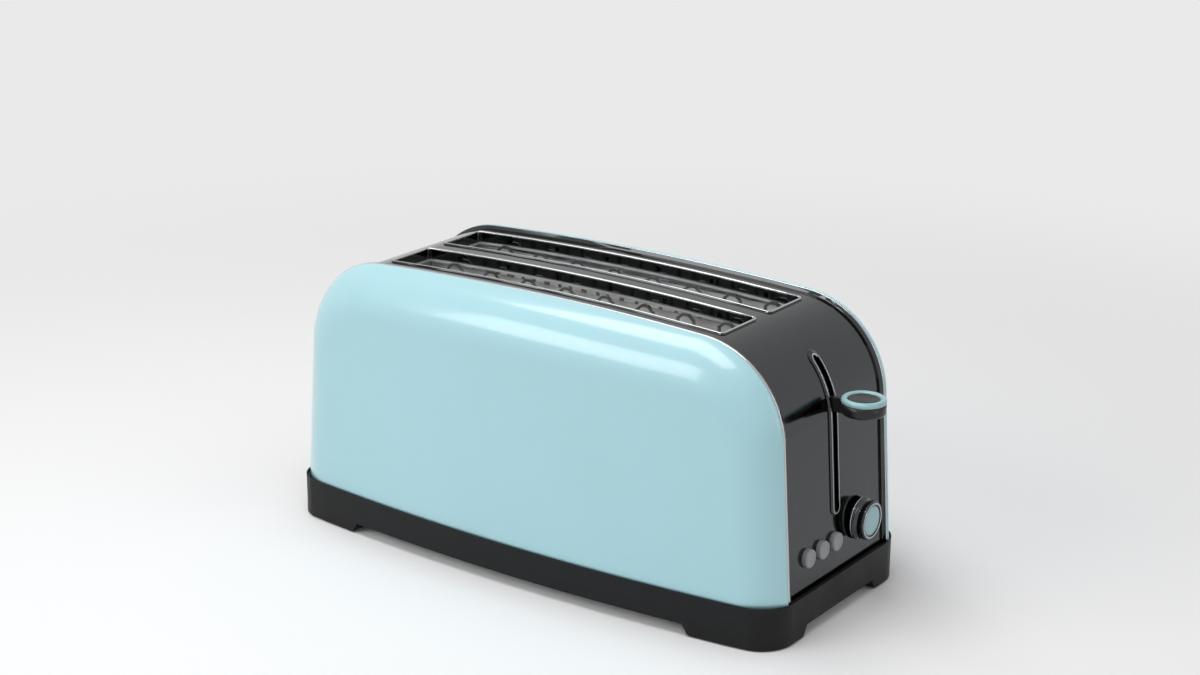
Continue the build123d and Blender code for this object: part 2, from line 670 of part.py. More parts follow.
def chrome_band():
    """One bright strip over both ends and the top, with its beads, slots and control openings."""
    half = BAND_HALF_WIDTH
    inner_inset = BAND_INSET + BAND_THICKNESS
    inner = body_block(inner_inset, BASE_TOP, -FAR, FAR)
    band = body_block(BAND_INSET, BASE_TOP, -half, half) - inner
    for y0 in (-half, half - BEAD_WIDTH):
        bead = body_block(BEAD_INSET, BASE_TOP, y0, y0 + BEAD_WIDTH) - inner
        band = band + bead
    rim_zone = body_block(BAND_INSET - LEVER_RIM_HEIGHT, BASE_TOP, -half, half) - inner
    band = band + (lever_slot(LEVER_RIM_WIDTH, SLOT_HALF_LENGTH, FAR) & rim_zone)
    band = band - lever_slot(0.0, SLOT_HALF_LENGTH, FAR)
    for y in (-SLOT_Y, SLOT_Y):
        band = band - slot_ring(COLLAR_THICKNESS / 2, None, y)
        band = band + slot_collar(y)
    for y in button_places():
        band = band - rod_x(BUTTON_RADIUS + BUTTON_GAP, SLOT_HALF_LENGTH, FAR, y, BUTTON_Z)
    band = band - rod_x(DIAL_HOLE_RADIUS, SLOT_HALF_LENGTH, FAR, DIAL_Y, DIAL_Z)
    return band


def button_places():
    """Y of each push button."""
    return [BUTTON_FIRST_Y + i * BUTTON_PITCH for i in range(len(BUTTON_NAMES))]


def lifter_slots(side):
    """Tall slots in an end frame that the lifters run in, with their travel."""
    low = CARRIAGE_REST_Z - CARRIAGE_DROP - LIFTER_WEB_HEIGHT - LIFTER_THICKNESS - LIFTER_SLOT_GAP
    high = CARRIAGE_REST_Z + CARRIAGE_LIFT + LIFTER_SLOT_GAP
    half = LIFTER_WEB_THICKNESS / 2 + LIFTER_SLOT_GAP
    return [block(side * FRAME_PLATE_X - 2 * SHEET, side * FRAME_PLATE_X + 2 * SHEET, y - half,
                  y + half, low, high) for y in (-SLOT_Y, SLOT_Y)]


def guard_places():
    """Y of each wire guard, front to rear."""
    return (-GUARD_OUTER_Y, -GUARD_INNER_Y, GUARD_INNER_Y, GUARD_OUTER_Y)


def end_frame(side):
    """Galvanised end plate with a foot flange, lifter slots and guard hinge holes."""
    x = side * FRAME_PLATE_X
    out = side * (FRAME_PLATE_X + SHEET)
    half = FRAME_PLATE_HALF_WIDTH
    plate = block(min(x, out), max(x, out), -half, half, BASE_TOP, BODY_HEIGHT)
    plate = plate & body_block(UNDER_TOP_FRAME, BASE_TOP, -FAR, FAR)
    toe = side * (FRAME_PLATE_X + FRAME_FLANGE)
    plate = plate + block(min(x, toe), max(x, toe), -half, half, BASE_TOP, BASE_TOP + SHEET)
    for cut in lifter_slots(side):
        plate = plate - cut
    for y in guard_places():
        hole = GUARD_WIRE / 2 + HINGE_CLEARANCE
        plate = plate - rod_x(hole, -FAR, FAR, y, GUARD_HINGE_Z)
    return plate


def top_frame():
    """Curved galvanised plate under the band that leaves a narrow ledge inside each slot."""
    plate = body_block(TOP_FRAME_INSET, BASE_TOP, -FRAME_PLATE_HALF_WIDTH, FRAME_PLATE_HALF_WIDTH)
    plate = plate - body_block(UNDER_TOP_FRAME, BASE_TOP, -FAR, FAR)
    keep = block(-TOP_FRAME_HALF_LENGTH, TOP_FRAME_HALF_LENGTH, -FAR, FAR, BASE_TOP, BODY_HEIGHT)
    plate = plate & keep
    for y in (-SLOT_Y, SLOT_Y):
        plate = plate - slot_ring(-LEDGE, None, y)
    return plate


def heat_shield_front():
    """Galvanised sheet between the outer heater board and the painted panel, with pressed ribs."""
    y = -FRAME_PLATE_HALF_WIDTH
    span = FRAME_PLATE_X - SHIELD_GAP
    sheet = block(-span, span, y, y + SHEET, BASE_TOP, BODY_HEIGHT)
    for i in range(SHIELD_RIB_COUNT):
        x = (i - (SHIELD_RIB_COUNT - 1) / 2) * SHIELD_RIB_PITCH
        half = SHIELD_RIB_WIDTH / 2
        rib = block(x - half, x + half, y, y + SHIELD_RIB_DEPTH, BOARD_BOTTOM, BOARD_TOP)
        groove = block(x - half + SHEET, x + half - SHEET, y, y + SHIELD_RIB_DEPTH - SHEET,
                       BOARD_BOTTOM + SHEET, BOARD_TOP - SHEET)
        sheet = sheet + rib - groove
    return sheet & body_block(UNDER_TOP_FRAME, BASE_TOP, -FAR, FAR)


def heater_board(y):
    """Mica board standing between the end frames."""
    span = FRAME_PLATE_X - BOARD_GAP
    half = BOARD_THICKNESS / 2
    return block(-span, span, y - half, y + half, BOARD_BOTTOM, BOARD_TOP)


def ribbon(y0, y1):
    """One heater ribbon, run back and forth along the board in level rows."""
    strips = []
    half = RIBBON_WIDTH / 2
    reach = RIBBON_HALF_LENGTH
    for i in range(RIBBON_ROWS):
        z = RIBBON_BOTTOM + i * RIBBON_PITCH
        strips.append(block(-reach, reach, y0, y1, z - half, z + half))
        if i + 1 < RIBBON_ROWS:
            end = reach if i % 2 == 0 else -reach
            strips.append(block(end - half, end + half, y0, y1, z - half, z + RIBBON_PITCH + half))
    return join(strips)


def heater_ribbon(y, sides):
    """Ribbons on the given sides of one board."""
    face = BOARD_THICKNESS / 2
    runs = []
    for side in sides:
        near = y + side * face
        far = near + side * RIBBON_THICKNESS
        runs.append(ribbon(min(near, far), max(near, far)).solid())
    return Compound(children=runs) if len(runs) > 1 else runs[0]


def guard(y):
    """Wire guard: a hinge rail, a stiffening rail and a row of arched wires."""
    half = GUARD_WIRE / 2
    reach = FRAME_PLATE_X + SHEET + half
    pieces = [rod_x(half, -reach, reach, y, GUARD_HINGE_Z)]
    span = (GUARD_ARCHES - 1) * GUARD_PITCH / 2 + GUARD_ARCH_WIDTH / 2 + GUARD_WIRE
    pieces.append(block(GUARD_SHIFT - span, GUARD_SHIFT + span, y - half, y + half,
                        GUARD_RAIL_Z - half, GUARD_RAIL_Z + half))
    leg_top = GUARD_TOP - GUARD_ARCH_RISE
    leg = GUARD_ARCH_WIDTH / 2
    flat = leg / 3
    path = Polyline((-leg, y, GUARD_HINGE_Z), (-leg, y, leg_top), (-flat, y, GUARD_TOP - half),
                    (flat, y, GUARD_TOP - half), (leg, y, leg_top), (leg, y, GUARD_HINGE_Z))
    section = Plane(origin=(-leg, y, GUARD_HINGE_Z), z_dir=(0, 0, 1)) * Rectangle(GUARD_WIRE, GUARD_WIRE)
    arch = sweep(section, path=path, transition=Transition.RIGHT)
    for i in range(GUARD_ARCHES):
        x = GUARD_SHIFT + (i - (GUARD_ARCHES - 1) / 2) * GUARD_PITCH
        pieces.append(Location((x, 0, 0)) * arch)
    return join(pieces)


def lifter(y):
    """Bread rest for one slot: a notched tread on a web that passes through both end frames."""
    top = CARRIAGE_REST_Z
    tread_low = top - LIFTER_THICKNESS
    reach = FRAME_PLATE_X - LIFTER_END_GAP
    half = LIFTER_WIDTH / 2
    tread = block(-reach, reach, y - half, y + half, tread_low, top)
    for i in range(LIFTER_NOTCH_COUNT):
        x = (i - (LIFTER_NOTCH_COUNT - 1) / 2) * LIFTER_NOTCH_PITCH
        for side in (-1, 1):
            inner = y + side * (half - LIFTER_NOTCH_DEPTH)
            outer = y + side * half
            tread = tread - block(x - LIFTER_NOTCH_LENGTH / 2, x + LIFTER_NOTCH_LENGTH / 2,
                                  min(inner, outer), max(inner, outer), tread_low, top)
    web_half = LIFTER_WEB_THICKNESS / 2
    web = block(-FRAME_PLATE_X - SHEET - LIFTER_TAIL, CARRIAGE_PLATE_X, y - web_half, y + web_half,
                tread_low - LIFTER_WEB_HEIGHT, tread_low)
    return tread + web


def carriage_plate():
    """Upright plate that ties both lifters, the guides, the keeper and the lever arm together."""
    x0 = CARRIAGE_PLATE_X
    x1 = x0 + CARRIAGE_PLATE_THICKNESS
    low = CARRIAGE_REST_Z - LIFTER_THICKNESS - LIFTER_WEB_HEIGHT
    guide_top = low + GUIDE_LENGTH
    half = CARRIAGE_PLATE_HALF_WIDTH
    arm = CARRIAGE_ARM_WIDTH / 2
    wide = block(x0, x1, -half, half, low, guide_top)
    tall = block(x0, x1, -arm, arm, low, ARM_BOTTOM + ARM_HEIGHT)
    plate = wide + tall
    inner = [e for e in plate.edges().filter_by(Axis.X) if abs(e.center().Z - guide_top) < BOARD_GAP
             and abs(e.center().Y) < half - 1]
    return fillet(inner, SLOT_CORNER)


def post(y):
    """Upright guide rod between the base deck and the guide bracket."""
    return rod_z(POST_RADIUS, post_x(), y, BASE_TOP, BRACKET_Z)


def post_x():
    """X of both guide rods."""
    return CARRIAGE_PLATE_X + CARRIAGE_PLATE_THICKNESS + GUIDE_WIDTH / 2


def guide_low():
    """Underside of the carriage guides at rest."""
    return CARRIAGE_REST_Z - LIFTER_THICKNESS - LIFTER_WEB_HEIGHT


def carriage_guide(y):
    """Plastic guide block that runs on one rod."""
    x = post_x()
    half = GUIDE_WIDTH / 2
    body = block(x - half, x + half, y - half, y + half, guide_low(), guide_low() + GUIDE_LENGTH)
    body = chamfer(body.edges().filter_by(Axis.Z).sort_by(Axis.X)[2:], GUIDE_CHAMFER)
    return body - rod_z(POST_RADIUS + POST_CLEARANCE, x, y, guide_low(), guide_low() + GUIDE_LENGTH)


def lift_spring(y):
    """Coil spring round a guide rod that pulls the carriage guide up towards the bracket."""
    wire = SPRING_WIRE
    low = guide_low() + GUIDE_LENGTH + SPRING_GAP + wire / 2
    high = BRACKET_Z - SPRING_GAP - wire / 2
    path = Helix(pitch=(high - low) / SPRING_TURNS, height=high - low, radius=SPRING_RADIUS)
    section = Plane(origin=path @ 0, z_dir=path % 0) * Rectangle(wire, wire)
    coil = sweep(section, path=path, is_frenet=True)
    return Location((post_x(), y, low)) * coil


def guide_bracket():
    """Folded bracket on the control-end frame that holds the tops of the guide rods."""
    x0 = FRAME_PLATE_X + SHEET
    x1 = post_x() + GUIDE_WIDTH / 2
    half = BRACKET_HALF_WIDTH
    shelf = block(x0, x1, -half, half, BRACKET_Z, BRACKET_Z + BRACKET_THICKNESS)
    back = block(x0, x0 + BRACKET_THICKNESS, -half, half, BRACKET_Z - FRAME_FLANGE, BRACKET_Z)
    return shelf + back


def keeper():
    """Soft iron keeper on the carriage that the magnet holds down."""
    x0 = CARRIAGE_PLATE_X + CARRIAGE_PLATE_THICKNESS
    half = KEEPER_WIDTH / 2
    return block(x0, x0 + MAGNET_LENGTH, -half, half, keeper_low(), keeper_low() + KEEPER_THICKNESS)


def keeper_low():
    """Underside of the keeper at rest."""
    return guide_low() + KEEPER_RAISE


def magnet_top():
    """Height of the magnet's pole faces, just under the keeper when the lever is down."""
    return keeper_low() - CARRIAGE_DROP - MAGNET_GAP


def magnet_core():
    """U-shaped iron core standing on the deck."""
    x0 = CARRIAGE_PLATE_X + CARRIAGE_PLATE_THICKNESS
    half = MAGNET_WIDTH / 2
    yoke_top = BASE_TOP + KEEPER_THICKNESS
    core = block(x0, x0 + MAGNET_LENGTH, -half, half, BASE_TOP, magnet_top())
    for side in (-1, 1):
        y0 = side * (half - MAGNET_LEG)
        y1 = side * MAGNET_LEG / 2
        core = core - block(x0, x0 + MAGNET_LENGTH, min(y0, y1), max(y0, y1), yoke_top, magnet_top())
    return core


def lever_arm():
    """Flat steel arm from the carriage plate out through the lever slot."""
    half = ARM_THICKNESS / 2
    x0 = CARRIAGE_PLATE_X + CARRIAGE_PLATE_THICKNESS
    x1 = LEVER_KNOB_X
    arm = block(x0, x1, -half, half, ARM_BOTTOM, ARM_BOTTOM + ARM_HEIGHT - LEVER_RING_HEIGHT)
    root = block(x0, x0 + GUIDE_WIDTH, -half, half, ARM_BOTTOM, ARM_BOTTOM + ARM_HEIGHT)
    return arm + root


def knob_arm_pocket():
    """Pocket in the lever knob that the arm fills."""
    half = ARM_THICKNESS / 2
    return block(0, LEVER_KNOB_X, -half, half, 0, ARM_BOTTOM + ARM_HEIGHT - LEVER_RING_HEIGHT)


def lever_knob():
    """Round black finger rest with a shallow dish inside its coloured ring."""
    low = LEVER_KNOB_BOTTOM
    high = low + LEVER_KNOB_HEIGHT
    body = rod_z(LEVER_KNOB_RADIUS, LEVER_KNOB_X, 0, low, high)
    body = chamfer(body.edges().sort_by(Axis.Z)[0], LEVER_RING_ROUND)
    seat = rod_z(LEVER_RING_INNER, LEVER_KNOB_X, 0, high, high + LEVER_RING_HEIGHT - LEVER_DISH_DEPTH)
    return body + seat - knob_arm_pocket()


def lever_ring():
    """Coloured ring round the top of the lever knob, round in section."""
    z0 = LEVER_KNOB_BOTTOM + LEVER_KNOB_HEIGHT
    ring = rod_z(LEVER_KNOB_RADIUS, LEVER_KNOB_X, 0, z0, z0 + LEVER_RING_HEIGHT)
    ring = ring - rod_z(LEVER_RING_INNER, LEVER_KNOB_X, 0, z0, z0 + LEVER_RING_HEIGHT)
    return chamfer(ring.edges().filter_by(GeomType.CIRCLE).sort_by(Axis.Z)[2:], LEVER_RING_ROUND)


def dial_start():
    """X of the back of the browning knob, clear of the band over its whole width."""
    return end_surface_x(DIAL_Z - DIAL_RADIUS, BAND_INSET) + DIAL_GAP


def revolve_x(points, y, z):
    """Turned part on an axis along X, from its half section given as distance and radius."""
    outline = make_face(Polyline(*[(x, r, 0) for x, r in points], close=True))
    return Location((0, y, z)) * revolve(outline, axis=Axis.X)


def browning_knob():
    """Bright turned knob: a skirt, a slightly waisted grip and a rimmed face."""
    x0 = dial_start()
    x1 = x0 + DIAL_SKIRT
    x2 = x0 + DIAL_LENGTH
    floor = x2 - DIAL_CAP_THICKNESS + DIAL_CAP_RAISE
    hole = DIAL_SHAFT_RADIUS
    points = [(x0, hole), (x0, DIAL_RADIUS), (x1, DIAL_RADIUS), (x2 - DIAL_RIM, DIAL_NECK_RADIUS),
              (x2 - DIAL_RIM / 2, DIAL_FACE_RADIUS), (x2, DIAL_FACE_RADIUS), (x2, DIAL_CAP_RADIUS),
              (floor, DIAL_CAP_RADIUS), (floor, hole)]
    return revolve_x(points, DIAL_Y, DIAL_Z)


def browning_knob_cap():
    """Coloured disc let into the face of the browning knob, with a pointer groove."""
    x2 = dial_start() + DIAL_LENGTH + DIAL_CAP_RAISE
    x1 = x2 - DIAL_CAP_THICKNESS
    cap = rod_x(DIAL_CAP_RADIUS, x1, x2, DIAL_Y, DIAL_Z)
    groove = block(x2 - DIAL_CAP_RAISE, x2, DIAL_Y - DIAL_MARK_WIDTH / 2, DIAL_Y + DIAL_MARK_WIDTH / 2,
                   DIAL_Z + DIAL_CAP_RADIUS / 2, DIAL_Z + DIAL_CAP_RADIUS)
    return cap - groove


def pot_front():
    """X of the front face of the potentiometer."""
    return CONTROL_BOARD_X + CONTROL_BOARD_THICKNESS + POT_DEPTH


def browning_knob_shaft():
    """Shaft from inside the potentiometer to the browning knob."""
    x0 = pot_front() - DIAL_BITE
    x1 = dial_start() + DIAL_LENGTH + DIAL_CAP_RAISE - DIAL_CAP_THICKNESS
    return rod_x(DIAL_SHAFT_RADIUS, x0, x1, DIAL_Y, DIAL_Z)


def button_front():
    """X of the front face of the push buttons."""
    return end_surface_x(BUTTON_Z, BAND_INSET) + BUTTON_PROUD


def switch_front():
    """X of the front face of the push switches."""
    return CONTROL_BOARD_X + CONTROL_BOARD_THICKNESS + SWITCH_DEPTH


def button(y):
    """Push button with a rounded cap, a shallow face rim and a plunger into its switch."""
    x1 = button_front()
    x0 = x1 - BUTTON_BODY
    cap = rod_x(BUTTON_RADIUS, x0, x1, y, BUTTON_Z)
    cap = chamfer(cap.edges().sort_by(Axis.X)[-1], BUTTON_ROUND)
    dish = rod_x(BUTTON_RADIUS - BUTTON_ROUND - BUTTON_RIM, x1 - BUTTON_GAP, x1, y, BUTTON_Z)
    plunger = rod_x(PLUNGER_RADIUS, switch_front() - BUTTON_TRAVEL, x0, y, BUTTON_Z)
    return cap - dish + plunger


def push_switch(y):
    """Small square switch on the control board with a bore for the plunger."""
    x0 = CONTROL_BOARD_X + CONTROL_BOARD_THICKNESS
    half = SWITCH_SIZE / 2
    body = block(x0, switch_front(), y - half, y + half, BUTTON_Z - half, BUTTON_Z + half)
    bore = rod_x(PLUNGER_RADIUS + PLUNGER_CLEARANCE, x0 + PLUNGER_CLEARANCE, FAR, y, BUTTON_Z)
    return body - bore


def control_board():
    """Upright control board standing on the deck."""
    x0 = CONTROL_BOARD_X
    half = CONTROL_BOARD_HALF_WIDTH
    board = block(x0, x0 + CONTROL_BOARD_THICKNESS, -half, half, BASE_TOP, CONTROL_BOARD_TOP)
    return chamfer(board.edges().filter_by(Axis.X).sort_by(Axis.Z)[2:], SLOT_CORNER)


def potentiometer():
    """Round potentiometer on the control board, with its terminal lug."""
    x0 = CONTROL_BOARD_X + CONTROL_BOARD_THICKNESS
    can = rod_x(POT_RADIUS, x0, pot_front(), DIAL_Y, DIAL_Z)
    half = POT_LUG_WIDTH / 2
    low = DIAL_Z - POT_RADIUS - POT_LUG_HEIGHT
    lug = block(x0, x0 + POT_LUG_THICKNESS, DIAL_Y - half, DIAL_Y + half, low, DIAL_Z)
    bore = rod_x(DIAL_SHAFT_RADIUS + DIAL_TURN_CLEARANCE, pot_front() - DIAL_BITE, FAR, DIAL_Y, DIAL_Z)
    return can + lug - bore


def terminal_block():
    """Three-way terminal block on the deck beside the mains entry."""
    half = TERMINAL_LENGTH / 2
    y0 = TERMINAL_Y - TERMINAL_WIDTH / 2
    y1 = TERMINAL_Y + TERMINAL_WIDTH / 2
    body = block(TERMINAL_X - half, TERMINAL_X + half, y0, y1, BASE_TOP, BASE_TOP + TERMINAL_HEIGHT)
    for i in range(TERMINAL_WAYS):
        y = TERMINAL_Y + (i - (TERMINAL_WAYS - 1) / 2) * TERMINAL_PITCH
        body = body - rod_x(TERMINAL_HOLE_RADIUS, 0, FAR, y, BASE_TOP + TERMINAL_HEIGHT / 3)
        body = body - rod_z(TERMINAL_HOLE_RADIUS, TERMINAL_X, y, BASE_TOP + TERMINAL_HEIGHT / 2, FAR)
    return body


def mains_contacts():
    """Contact block with two upright spring leaves, on the deck."""
    half = CONTACT_LENGTH / 2
    wide = CONTACT_WIDTH / 2
    top = BASE_TOP + CONTACT_HEIGHT
    body = block(TERMINAL_X - half, TERMINAL_X + half, CONTACT_Y - wide, CONTACT_Y + wide, BASE_TOP, top)
    leaves = [body]
    for side in (-1, 1):
        y = CONTACT_Y + side * LEAF_SPACING / 2
        leaves.append(block(TERMINAL_X - LEAF_WIDTH / 2, TERMINAL_X + LEAF_WIDTH / 2,
                            y - LEAF_THICKNESS / 2, y + LEAF_THICKNESS / 2, top, top + LEAF_LENGTH))
    return join(leaves)


def wall_y(x, z):
    """Y of the outside of the base's rear wall at a place."""
    share = (BASE_TOP - z) / (BASE_TOP - FOOT_UNDERSIDE)
    half_depth = BASE_HALF_DEPTH - BASE_SIDE_TAPER * share
    radius = SIDE_BOW_RADIUS - (BASE_HALF_DEPTH - half_depth)
    return half_depth - radius + sqrt(radius ** 2 - x ** 2)


def cable_gland():
    """Flanged bush in the rear wall of the base that a mains cable comes out of."""
    outer = wall_y(MAINS_X, MAINS_Z) + GLAND_FLANGE_THICKNESS
    barrel = rod_y(GLAND_RADIUS, MAINS_X, outer - GLAND_LENGTH, outer, MAINS_Z)
    flange = rod_y(GLAND_FLANGE_RADIUS, MAINS_X, 0, outer, MAINS_Z)
    flange = flange - base_block(FOOT_UNDERSIDE, BASE_TOP, 0.0)
    flange = flange & block(0, FAR, BASE_CORNER_RADIUS, FAR, 0, FAR)
    bore = rod_y(GLAND_BORE, MAINS_X, 0, FAR, MAINS_Z)
    return barrel + flange - bore


def frame_screws():
    """Screws through the foot flanges of both end frames into the deck."""
    screws = []
    x = FRAME_PLATE_X + SHEET + (FRAME_FLANGE - SHEET) / 2
    top = BASE_TOP + SHEET
    for px, py in corners(x, FRAME_PLATE_HALF_WIDTH - FRAME_FLANGE / 2):
        head = rod_z(SCREW_HEAD_RADIUS, px, py, top, top + SCREW_HEAD_HEIGHT)
        screws.append(head)
    return Compound(children=screws)


def build_all():
    """Make and save every piece."""
    save("base_housing", base_housing())
    save("bottom_plate", bottom_plate())
    save("base_screws", base_screws())
    pad_names = ("rear_left", "front_left", "rear_right", "front_right")
    save("rubber_pad_" + pad_names[1], rubber_pad(-PAD_X, -PAD_Y))
    save("rubber_pad_" + pad_names[0], rubber_pad(-PAD_X, PAD_Y))
    save("rubber_pad_" + pad_names[3], rubber_pad(PAD_X, -PAD_Y))
    save("rubber_pad_" + pad_names[2], rubber_pad(PAD_X, PAD_Y))
    panel = front_side_panel()
    save("front_side_panel", panel)
    save("rear_side_panel", flip_y(panel))
    save("chrome_band", chrome_band())
    save("end_frame_left", end_frame(-1))
    save("end_frame_right", end_frame(1))
    save("frame_screws", frame_screws())
    save("top_frame", top_frame())
    shield = heat_shield_front()
    save("heat_shield_front", shield)
    save("heat_shield_rear", flip_y(shield))
    for name, y, sides in (("front", -BOARD_Y, (1,)), ("centre", 0.0, (-1, 1)), ("rear", BOARD_Y, (-1,))):
        save("heater_board_" + name, heater_board(y))
        save("heater_ribbon_" + name, heater_ribbon(y, sides))
    guard_names = ("front_outer", "front_inner", "rear_inner", "rear_outer")
    for name, y in zip(guard_names, guard_places()):
        save("bread_guard_" + name, guard(y))
    for name, side in (("front", -1), ("rear", 1)):
        save("bread_lifter_" + name, lifter(side * SLOT_Y))
        save("guide_rod_" + name, post(side * POST_Y))
        save("carriage_guide_" + name, carriage_guide(side * POST_Y))
        save("lift_spring_" + name, lift_spring(side * POST_Y))
    save("carriage_plate", carriage_plate())
    save("guide_bracket", guide_bracket())
    save("magnet_keeper", keeper())
    save("magnet_core", magnet_core())
    save("lever_arm", lever_arm())
    save("lever_knob", lever_knob())
    save("lever_knob_ring", lever_ring())
    save("browning_knob", browning_knob())
    save("browning_knob_cap", browning_knob_cap())
    save("browning_knob_shaft", browning_knob_shaft())
    for button_name, switch_name, y in zip(BUTTON_NAMES, SWITCH_NAMES, button_places()):
        save(button_name, button(y))
        save(switch_name, push_switch(y))
    save("control_board", control_board())
    save("potentiometer", potentiometer())
    save("terminal_block", terminal_block())
    save("mains_contacts", mains_contacts())
    save("cable_gland", cable_gland())
    save("tray_rails", tray_rails())
    save("crumb_tray", crumb_tray())
    save("crumb_tray_front", crumb_tray_front())


build_all()
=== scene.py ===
"""Long-slot toaster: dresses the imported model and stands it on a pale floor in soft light."""
from __future__ import annotations

import json
import logging
import math
from dataclasses import dataclass, field
from enum import Enum
from typing import Callable

import bmesh
import bpy
import numpy as np
from bpy.types import ID, Material, Mesh, Node, NodeSocket, NodeTree, Object
from mathutils import Matrix, Vector

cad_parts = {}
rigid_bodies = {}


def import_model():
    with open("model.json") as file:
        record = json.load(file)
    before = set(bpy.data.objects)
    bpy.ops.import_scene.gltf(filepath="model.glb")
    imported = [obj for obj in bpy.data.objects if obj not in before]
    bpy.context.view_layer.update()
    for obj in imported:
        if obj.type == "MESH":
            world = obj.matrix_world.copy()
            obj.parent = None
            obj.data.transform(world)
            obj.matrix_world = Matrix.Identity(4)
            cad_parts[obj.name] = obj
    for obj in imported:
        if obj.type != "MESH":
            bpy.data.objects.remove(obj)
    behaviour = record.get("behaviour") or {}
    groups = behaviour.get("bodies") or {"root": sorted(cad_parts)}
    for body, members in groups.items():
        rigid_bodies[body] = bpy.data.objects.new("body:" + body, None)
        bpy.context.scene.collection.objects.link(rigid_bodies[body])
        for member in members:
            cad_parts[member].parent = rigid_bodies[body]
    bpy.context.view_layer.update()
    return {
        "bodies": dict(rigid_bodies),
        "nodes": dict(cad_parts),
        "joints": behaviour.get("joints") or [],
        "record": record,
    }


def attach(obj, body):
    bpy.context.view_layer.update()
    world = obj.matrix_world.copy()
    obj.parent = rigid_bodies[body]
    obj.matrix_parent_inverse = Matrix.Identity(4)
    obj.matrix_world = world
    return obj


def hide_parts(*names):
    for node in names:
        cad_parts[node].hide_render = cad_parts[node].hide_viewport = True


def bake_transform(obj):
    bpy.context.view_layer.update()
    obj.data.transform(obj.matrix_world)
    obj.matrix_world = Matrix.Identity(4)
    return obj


LOG = logging.getLogger("toaster")
MM = 0.001
FRAME_SHIFT = -7.9
MERGE = 0.004
FINE_MERGE = 0.002
SHARP_ANGLE = 28.0
BEAD_SIDES = 10

Array = np.ndarray
Pair = tuple[float, float]
Triple = tuple[float, float, float]


class Axis(Enum):
    """Direction that a turned piece's axis runs along."""

    ALONG = "x"
    UP = "z"


class Side(Enum):
    """Which long side of the toaster a piece belongs to."""

    FRONT = -1.0
    REAR = 1.0


def to_model(points: Array) -> Array:
    """Moves body millimetres into the model's metres: subtract the frame's shift along X, then scale.

    Args:
        points: array of shape (n, 3) in millimetres, measured from under the body's middle.

    Returns:
        The same points in metres in the model's frame.
    """
    return (points + np.array([FRAME_SHIFT, 0.0, 0.0])) * MM


def body_points(mesh: Mesh) -> Array:
    """Reads a mesh's points in body millimetres, the reverse of to_model."""
    flat = np.empty(len(mesh.vertices) * 3)
    mesh.vertices.foreach_get("co", flat)
    return flat.reshape(-1, 3) / MM - np.array([FRAME_SHIFT, 0.0, 0.0])


def beside(*columns: Array) -> Array:
    """Stacks arrays of one length as the columns of a point array."""
    return np.stack(columns, axis=-1)


def chain(*stretches: Array | list) -> Array:
    """Joins stretches of a path or a profile end to end."""
    return np.concatenate(stretches)


def add_object(name: str, data: ID) -> Object:
    """Links a new object to the scene at the origin."""
    obj = bpy.data.objects.new(name, data)
    bpy.context.scene.collection.objects.link(obj)
    return obj


def add_node(tree: NodeTree, kind: str, inputs: dict | None = None, **settings: object) -> Node:
    """Adds a shader node, sets its properties, such as its operation, and its inputs by name or number."""
    node = tree.nodes.new(f"ShaderNode{kind}")
    for label, value in settings.items():
        setattr(node, label, value)
    for label, value in (inputs or {}).items():
        node.inputs[label].default_value = value
    return node


def wire(source: Node | NodeSocket, target: Node, label: str | int = 0) -> None:
    """Links a socket, or a node's first output, to one input of another node."""
    socket = source.outputs[0] if isinstance(source, Node) else source
    target.id_data.links.new(socket, target.inputs[label])


def grid_quads(rows: int, cols: int, wrap: bool = False) -> Array:
    """Quads of a grid of points stored row by row: corner (r, c) joins its next row and column.

    Args:
        rows: number of rows of points.
        cols: number of columns of points.
        wrap: whether the last column joins the first one.

    Returns:
        Array of shape (faces, 4) with point numbers.
    """
    r = np.arange(rows - 1)[:, None]
    c = np.arange(cols if wrap else cols - 1)[None, :]
    n = (c + 1) % cols
    return beside(r * cols + c, r * cols + n, (r + 1) * cols + n, (r + 1) * cols + c).reshape(-1, 4)


def new_piece(name: str, points: Array, quads: Array, outward: Vector | None = None) -> Object:
    """Makes a smooth mesh object at the origin from points in millimetres.

    Args:
        name: the piece's name.
        points: array of shape (n, 3) in body millimetres.
        quads: array of faces, four point numbers each.
        outward: for an open sheet, a direction that its middle faces; a closed shape turns itself.

    Returns:
        The new object, linked to the scene.
    """
    mesh = bpy.data.meshes.new(name)
    mesh.from_pydata(to_model(points).tolist(), [], quads.tolist())
    work = bmesh.new()
    work.from_mesh(mesh)
    bmesh.ops.remove_doubles(work, verts=work.verts, dist=MERGE * MM)
    bmesh.ops.dissolve_degenerate(work, edges=work.edges, dist=FINE_MERGE * MM)
    bmesh.ops.recalc_face_normals(work, faces=work.faces)
    if outward is not None:
        total = Vector((0.0, 0.0, 0.0))
        for face in work.faces:
            total += face.normal * face.calc_area()
        if total.dot(outward) < 0.0:
            bmesh.ops.reverse_faces(work, faces=work.faces)
    work.to_mesh(mesh)
    work.free()
    mesh.shade_smooth()
    return add_object(name, mesh)


def lathe(name: str, axis: Axis, centre: Triple, profile: Array, turns: int = 72,
          ) -> Object:
    """Turned piece: each profile point (distance along the axis, radius) goes round the axis in a circle.

    Args:
        name: the piece's name.
        axis: the direction of the axis.
        centre: point on the axis where the distance is 0, in body millimetres.
        profile: array of shape (n, 2) with distance and radius, ending on the axis or closing itself.
        turns: number of points round the axis.

    Returns:
        The new object.
    """
    angle = np.linspace(0.0, 2.0 * math.pi, turns, endpoint=False)
    along = np.repeat(profile[:, :1], turns, axis=1)
    one = profile[:, 1:] * np.cos(angle)[None, :]
    two = profile[:, 1:] * np.sin(angle)[None, :]
    order = [along, one, two] if axis is Axis.ALONG else [one, two, along]
    points = beside(*order).reshape(-1, 3) + np.array(centre)
    return new_piece(name, points, grid_quads(len(profile), turns, wrap=True))


